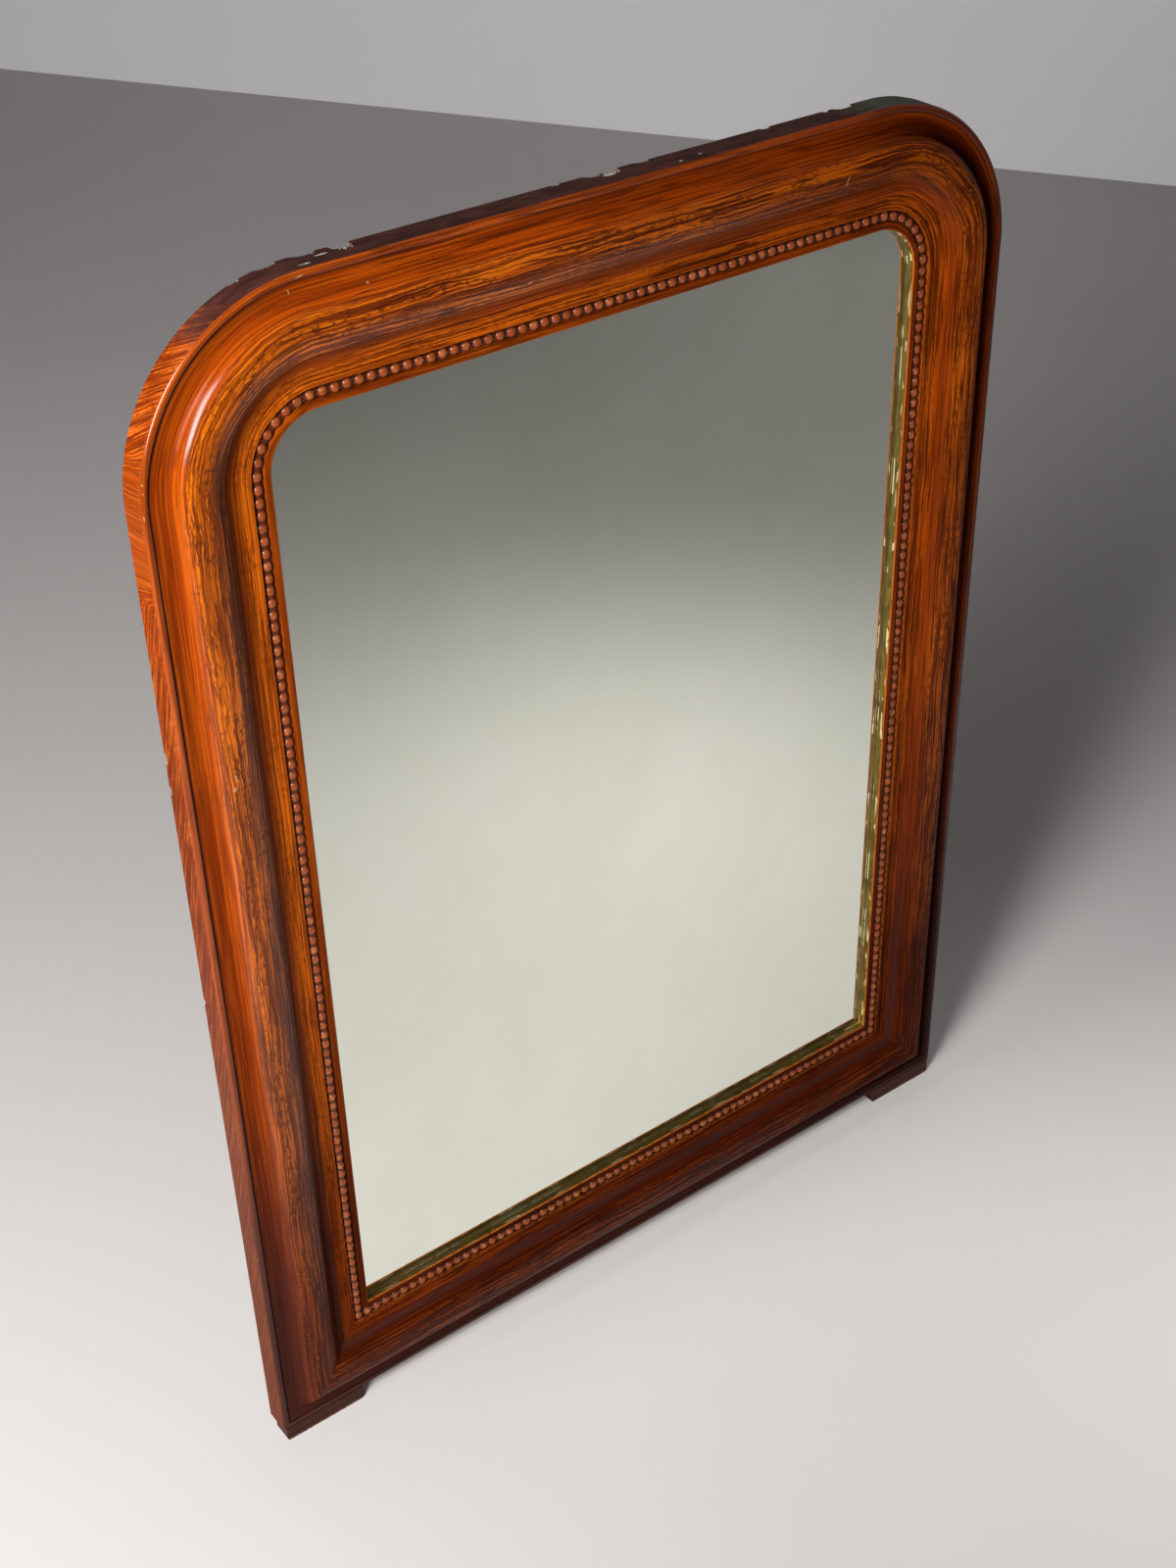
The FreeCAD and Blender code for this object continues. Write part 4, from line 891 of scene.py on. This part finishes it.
def bead_paint(sheet):
    """Copper brown, lighter on top of the beads, where it is rubbed and has a painted sheen, and
    dark between them with painted shade and dirt.
    """
    inset, depth, run = sheet.use(LAY)[:3]
    patch = sheet.noise(run / 7, inset / 5, 2.0, 4.0, 0.6)
    # Lighter copper on the tops of the beads and in patches there: rubbed paint with a painted
    # sheen.
    top = sheet.spread(depth + patch * 1.2, 3.9, 1.7)
    colour = sheet.mix(top, tone(92, 38, 14), tone(150, 70, 30))
    colour = sheet.mix(sheet.spread(patch, 0.5, 0.66) * top, colour, tone(182, 104, 56))
    # Dark low down between the beads: painted shade, with dirt.
    colour = sheet.mix(sheet.spread(depth, 2.7, 3.2) * 0.55, colour, tone(52, 22, 12))
    return {"Base Color": colour, "Roughness": sheet.spread(patch, 0.3, 0.7, 0.34, 0.5),
            "Metallic": top * 0.1, "Normal": sheet.bump(patch, 0.6, 0.0008),
            "Coat Weight": 0.4, "Coat Roughness": 0.2, "Specular IOR Level": 0.1}


def gilding(sheet):
    """Gold leaf, rubbed through to red clay in places, tarnished in patches and dark brown at its
    foot against the glass, with painted glints along its two edges.
    """
    depth, run = sheet.use(LAY)[1:3]
    tarnish = sheet.noise(run / 22, depth / 4, 2.0, 4.0, 0.55)
    worn = sheet.noise(run / 4, depth / 1.2, 8.0, 4.0, 0.7)
    colour = sheet.mix(sheet.spread(tarnish, 0.4, 0.62), tone(138, 116, 56), tone(106, 90, 42))
    through = sheet.spread(worn, 0.64, 0.7)
    colour = sheet.mix(through, colour, tone(112, 50, 26))
    # Pale gold in broken streaks along the two edges: painted glints, the lamp's reflection in the
    # leaf.
    edge = sheet.most(sheet.spread(depth, 5.8, 5.6), sheet.band(depth, 8.0, 8.2, 8.7, 8.9))
    broken = sheet.noise(run / 28, depth / 5, 15.0, 2.0, 0.6)
    bright = edge * sheet.spread(broken, 0.53, 0.57)
    colour = sheet.mix(bright, colour, tone(255, 242, 192))
    # Dark brown at the foot of the slip, against the glass.
    low = sheet.spread(depth, 8.6, 9.4)
    colour = sheet.mix(low * 0.8, colour, tone(56, 38, 20))
    rough = sheet.spread(tarnish, 0.35, 0.65, 0.4, 0.46) + through * 0.2 - bright * 0.16
    return {"Base Color": colour, "Metallic": 1.0 - sheet.most(through, low * 0.6),
            "Roughness": rough, "Normal": sheet.bump(worn * 0.4 + tarnish, 0.08, 0.0004)}


def mirror_glass(sheet):
    """Old silvering, faintly green, with a bloom of fine spots that thickens towards the edges, and
    muted red paint on its back."""
    x, y, z = sheet.place()
    near = sheet.spread(sheet.use(LAY)[0], 130.0, 84.0)
    spots = sheet.noise(x / 2.2, z / 2.2, 4.0, 5.0, 0.75)
    bloom = sheet.spread(spots + near * 0.07, 0.7, 0.76)
    cloud = sheet.noise(x / 90, z / 140, 6.0, 4.0, 0.6)
    colour = sheet.mix(sheet.spread(cloud, 0.3, 0.7), tone(252, 255, 244), tone(247, 251, 238))
    colour = sheet.mix(bloom * 0.6, colour, tone(120, 118, 104))
    behind = sheet.spread(y, 1.5, 2.6)
    colour = sheet.mix(behind, colour, tone(92, 60, 52))
    rough = sheet.spread(cloud, 0.3, 0.7, 0.012, 0.03) + bloom * 0.15 + behind * 0.5
    return {"Base Color": colour, "Roughness": rough, "Metallic": 1.0 - behind}


def bare_pine(sheet):
    """Old boards, their grain upright, a little different from board to board."""
    x, z = sheet.place()[::2]
    board = sheet.do("FLOOR", (x + 400.0) / 190.0)
    colour, height = sheet.use(SAWN, x, z, board * 7.0)
    dirt = sheet.noise(x / 70, z / 110, 15.0, 5.0, 0.65)
    colour = sheet.mix(sheet.spread(dirt, 0.45, 0.75, 0.0, 0.7), colour, tone(86, 70, 58))
    return {"Base Color": colour, "Roughness": sheet.spread(dirt, 0.3, 0.7, 0.66, 0.85),
            "Normal": sheet.bump(height, 0.5, 0.0006)}


def painted_foot(sheet):
    """Dark brown paint, rubbed at the lower edge, over end grain."""
    x, z = sheet.place()[::2]
    broad, fine, lines, strokes = sheet.use(GRAIN, z, x, 9.0, 0.5)
    colour = sheet.mix(sheet.spread(broad, 0.4, 0.65), tone(72, 32, 20), tone(52, 24, 16))
    colour = sheet.mix(strokes * 0.6, colour, tone(42, 20, 14))
    chip = sheet.noise(x / 2.5, z / 2, 3.0, 4.0, 0.7)
    worn = sheet.spread(z, 2.6, 0.4) * sheet.spread(chip, 0.46, 0.56)
    colour = sheet.mix(worn, colour, tone(150, 116, 82))
    return {"Base Color": colour, "Roughness": sheet.spread(fine, 0.3, 0.7, 0.38, 0.55),
            "Normal": sheet.bump(fine + chip, 0.35, 0.0004), "Coat Weight": 0.04,
            "Coat Roughness": 0.25, "Specular IOR Level": 0.1}


def dark_iron(sheet):
    """Dull iron with brown rust in patches."""
    skin = sheet.noise(*(way * 0.35 for way in sheet.place()), 6.0, 0.7)
    rust = sheet.spread(skin, 0.48, 0.62)
    return {"Base Color": sheet.mix(rust, tone(92, 88, 84), tone(112, 66, 42)),
            "Metallic": 0.9 - rust * 0.7, "Roughness": sheet.spread(skin, 0.3, 0.7, 0.42, 0.75),
            "Normal": sheet.bump(skin, 0.5, 0.0004)}


PAINTED_MOULDING = new_material("faux_bois_paint", painted_moulding)
CARCASS_WOOD = new_material("carcass_pine", carcass_wood)
BEAD_PAINT = new_material("copper_brown_paint", bead_paint)
GILDING = new_material("gilding", gilding)
MIRROR_GLASS = new_material("mirror_glass", mirror_glass)
BARE_PINE = new_material("bare_pine", bare_pine)
PAINTED_FOOT = new_material("painted_foot", painted_foot)
DARK_IRON = new_material("dark_iron", dark_iron)

make_mouldings()
make_carcass()
make_beads()
make_slips()

FINISHES = {
    CARCASS_WOOD: ("rail_bottom",),
    MIRROR_GLASS: ("mirror_plate",),
    BARE_PINE: ("backboard_left", "backboard_middle", "backboard_right", "glazing_blocks",
                "corner_dowels"),
    PAINTED_FOOT: ("foot_left", "foot_right"),
    DARK_IRON: ("foot_nails", "backboard_nails", "hanger_screws", "hanger_strap_left",
                "hanger_strap_right", "hanger_ring_left", "hanger_ring_right"),
}
for material, nodes in FINISHES.items():
    for node in nodes:
        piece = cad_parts[node]
        for slot in piece.material_slots:
            slot.material = material
        if not len(piece.material_slots):
            piece.data.materials.append(material)


# Studio

def studio_sheet(name, corners, material):
    """A flat four-sided sheet of the studio."""
    mesh = bpy.data.meshes.new(name)
    mesh.from_pydata(corners, [], [range(4)])
    mesh.materials.append(material)
    sheet = bpy.data.objects.new(name, mesh)
    bpy.context.collection.objects.link(sheet)


def matt_grey(red, green, blue, glow):
    """A matt grey that the camera and reflections see a share of glow brighter than it is lit."""
    def build(sheet):
        soft = sheet.noise(*(way / 700 for way in sheet.place()), 4.0, 0.6)
        low, high = tone(red - 3, green - 3, blue - 3), tone(red + 3, green + 3, blue + 3)
        colour = sheet.mix(soft, low, high)
        direct, mirrored, passed = (
            sheet.add("LightPath", output=f"Is {kind} Ray")
            for kind in ("Camera", "Glossy", "Transmission"))
        seen = sheet.most(direct, sheet.most(mirrored, passed))
        return {"Base Color": colour, "Roughness": 0.6, "Emission Color": colour,
                "Emission Strength": seen * glow}
    return build


FLOOR = new_material("studio_floor", matt_grey(226, 222, 219, 0.0))
WALL = new_material("studio_wall", matt_grey(214, 212, 214, 0.26))
FLOOR_REACH = 9
studio_sheet("floor", [(x * FLOOR_REACH, y * FLOOR_REACH, 0)
                       for x, y in ((-1, -1), (1, -1), (1, 1), (-1, 1))], FLOOR)

# The wall stands behind the mirror, square to this way and at this distance from the origin
WALL_WAY = Vector((0.8487, 0.5288, 0))
WALL_DISTANCE = 2.8355
WALL_REACH = 8
WALL_HEIGHT = Vector((0, 0, 5))
away = WALL_WAY * WALL_DISTANCE
sideways = Vector((-WALL_WAY.y, WALL_WAY.x, 0)) * WALL_REACH
studio_sheet("wall", [away - sideways, away + sideways, away + sideways + WALL_HEIGHT,
                      away - sideways + WALL_HEIGHT], WALL)


def new_lamp(name, place, target, energy, **settings):
    """An area lamp at a place that looks at a target."""
    data = bpy.data.lights.new(name, "AREA")
    data.energy = energy
    for key, value in settings.items():
        setattr(data, key, value)
    lamp = bpy.data.objects.new(name, data)
    bpy.context.collection.objects.link(lamp)
    lamp.location = place
    lamp.rotation_euler = (Vector(target) - Vector(place)).to_track_quat("-Z", "Y").to_euler()
    return lamp


new_lamp("key", (-1.54, -0.76, 1.435), (-0.15, 0.85, 0.0), 35.5, shape="RECTANGLE", size=0.6,
         size_y=1.09, spread=math.radians(135))
for name, place, target, energy, angle in (
        ("fill", (0.47, -0.65, 1.3), (0.48, -0.52, 0.0), 0.62, 50),
        ("far_fill", (1.9, -1.9, 1.6), (1.6, -1.5, 0.0), 0.62, 80),
        ("back_fill", (0.0, 1.35, 0.5), (0.0, 0.0, 0.48), 1.3, 36)):
    fill = new_lamp(name, place, target, energy, shape="SQUARE", size=0.4,
                    spread=math.radians(angle))
    fill.visible_glossy = False

world = bpy.data.worlds.new("studio")
world.use_nodes = True
background = world.node_tree.nodes["Background"]
background.inputs["Color"].default_value = tone(236, 236, 240)
background.inputs["Strength"].default_value = 0.088
bpy.context.scene.world = world
bpy.context.scene.view_settings.view_transform = "Standard"


# Camera, as an azimuth, a height above the horizon and a roll

AZIMUTH, ELEVATION, ROLL = (math.radians(angle) for angle in (-35.990, 34.556, 1.564))
CAMERA_PLACE = (-0.7956, -1.0524, 1.3845)
back = Vector((math.sin(AZIMUTH) * math.cos(ELEVATION), -math.cos(AZIMUTH) * math.cos(ELEVATION),
               math.sin(ELEVATION)))
level = (-back).cross(Vector((0, 0, 1))).normalized()
down = (-back).cross(level)
right = math.cos(ROLL) * level + math.sin(ROLL) * down
down = math.cos(ROLL) * down - math.sin(ROLL) * level
view = bpy.data.cameras.new("view")
view.lens = 49.31
view.sensor_width = 36
camera = bpy.data.objects.new("view", view)
bpy.context.collection.objects.link(camera)
camera.matrix_world = Matrix.Translation(CAMERA_PLACE) @ Matrix(
    (right, -down, back)).transposed().to_4x4()
bpy.context.scene.camera = camera
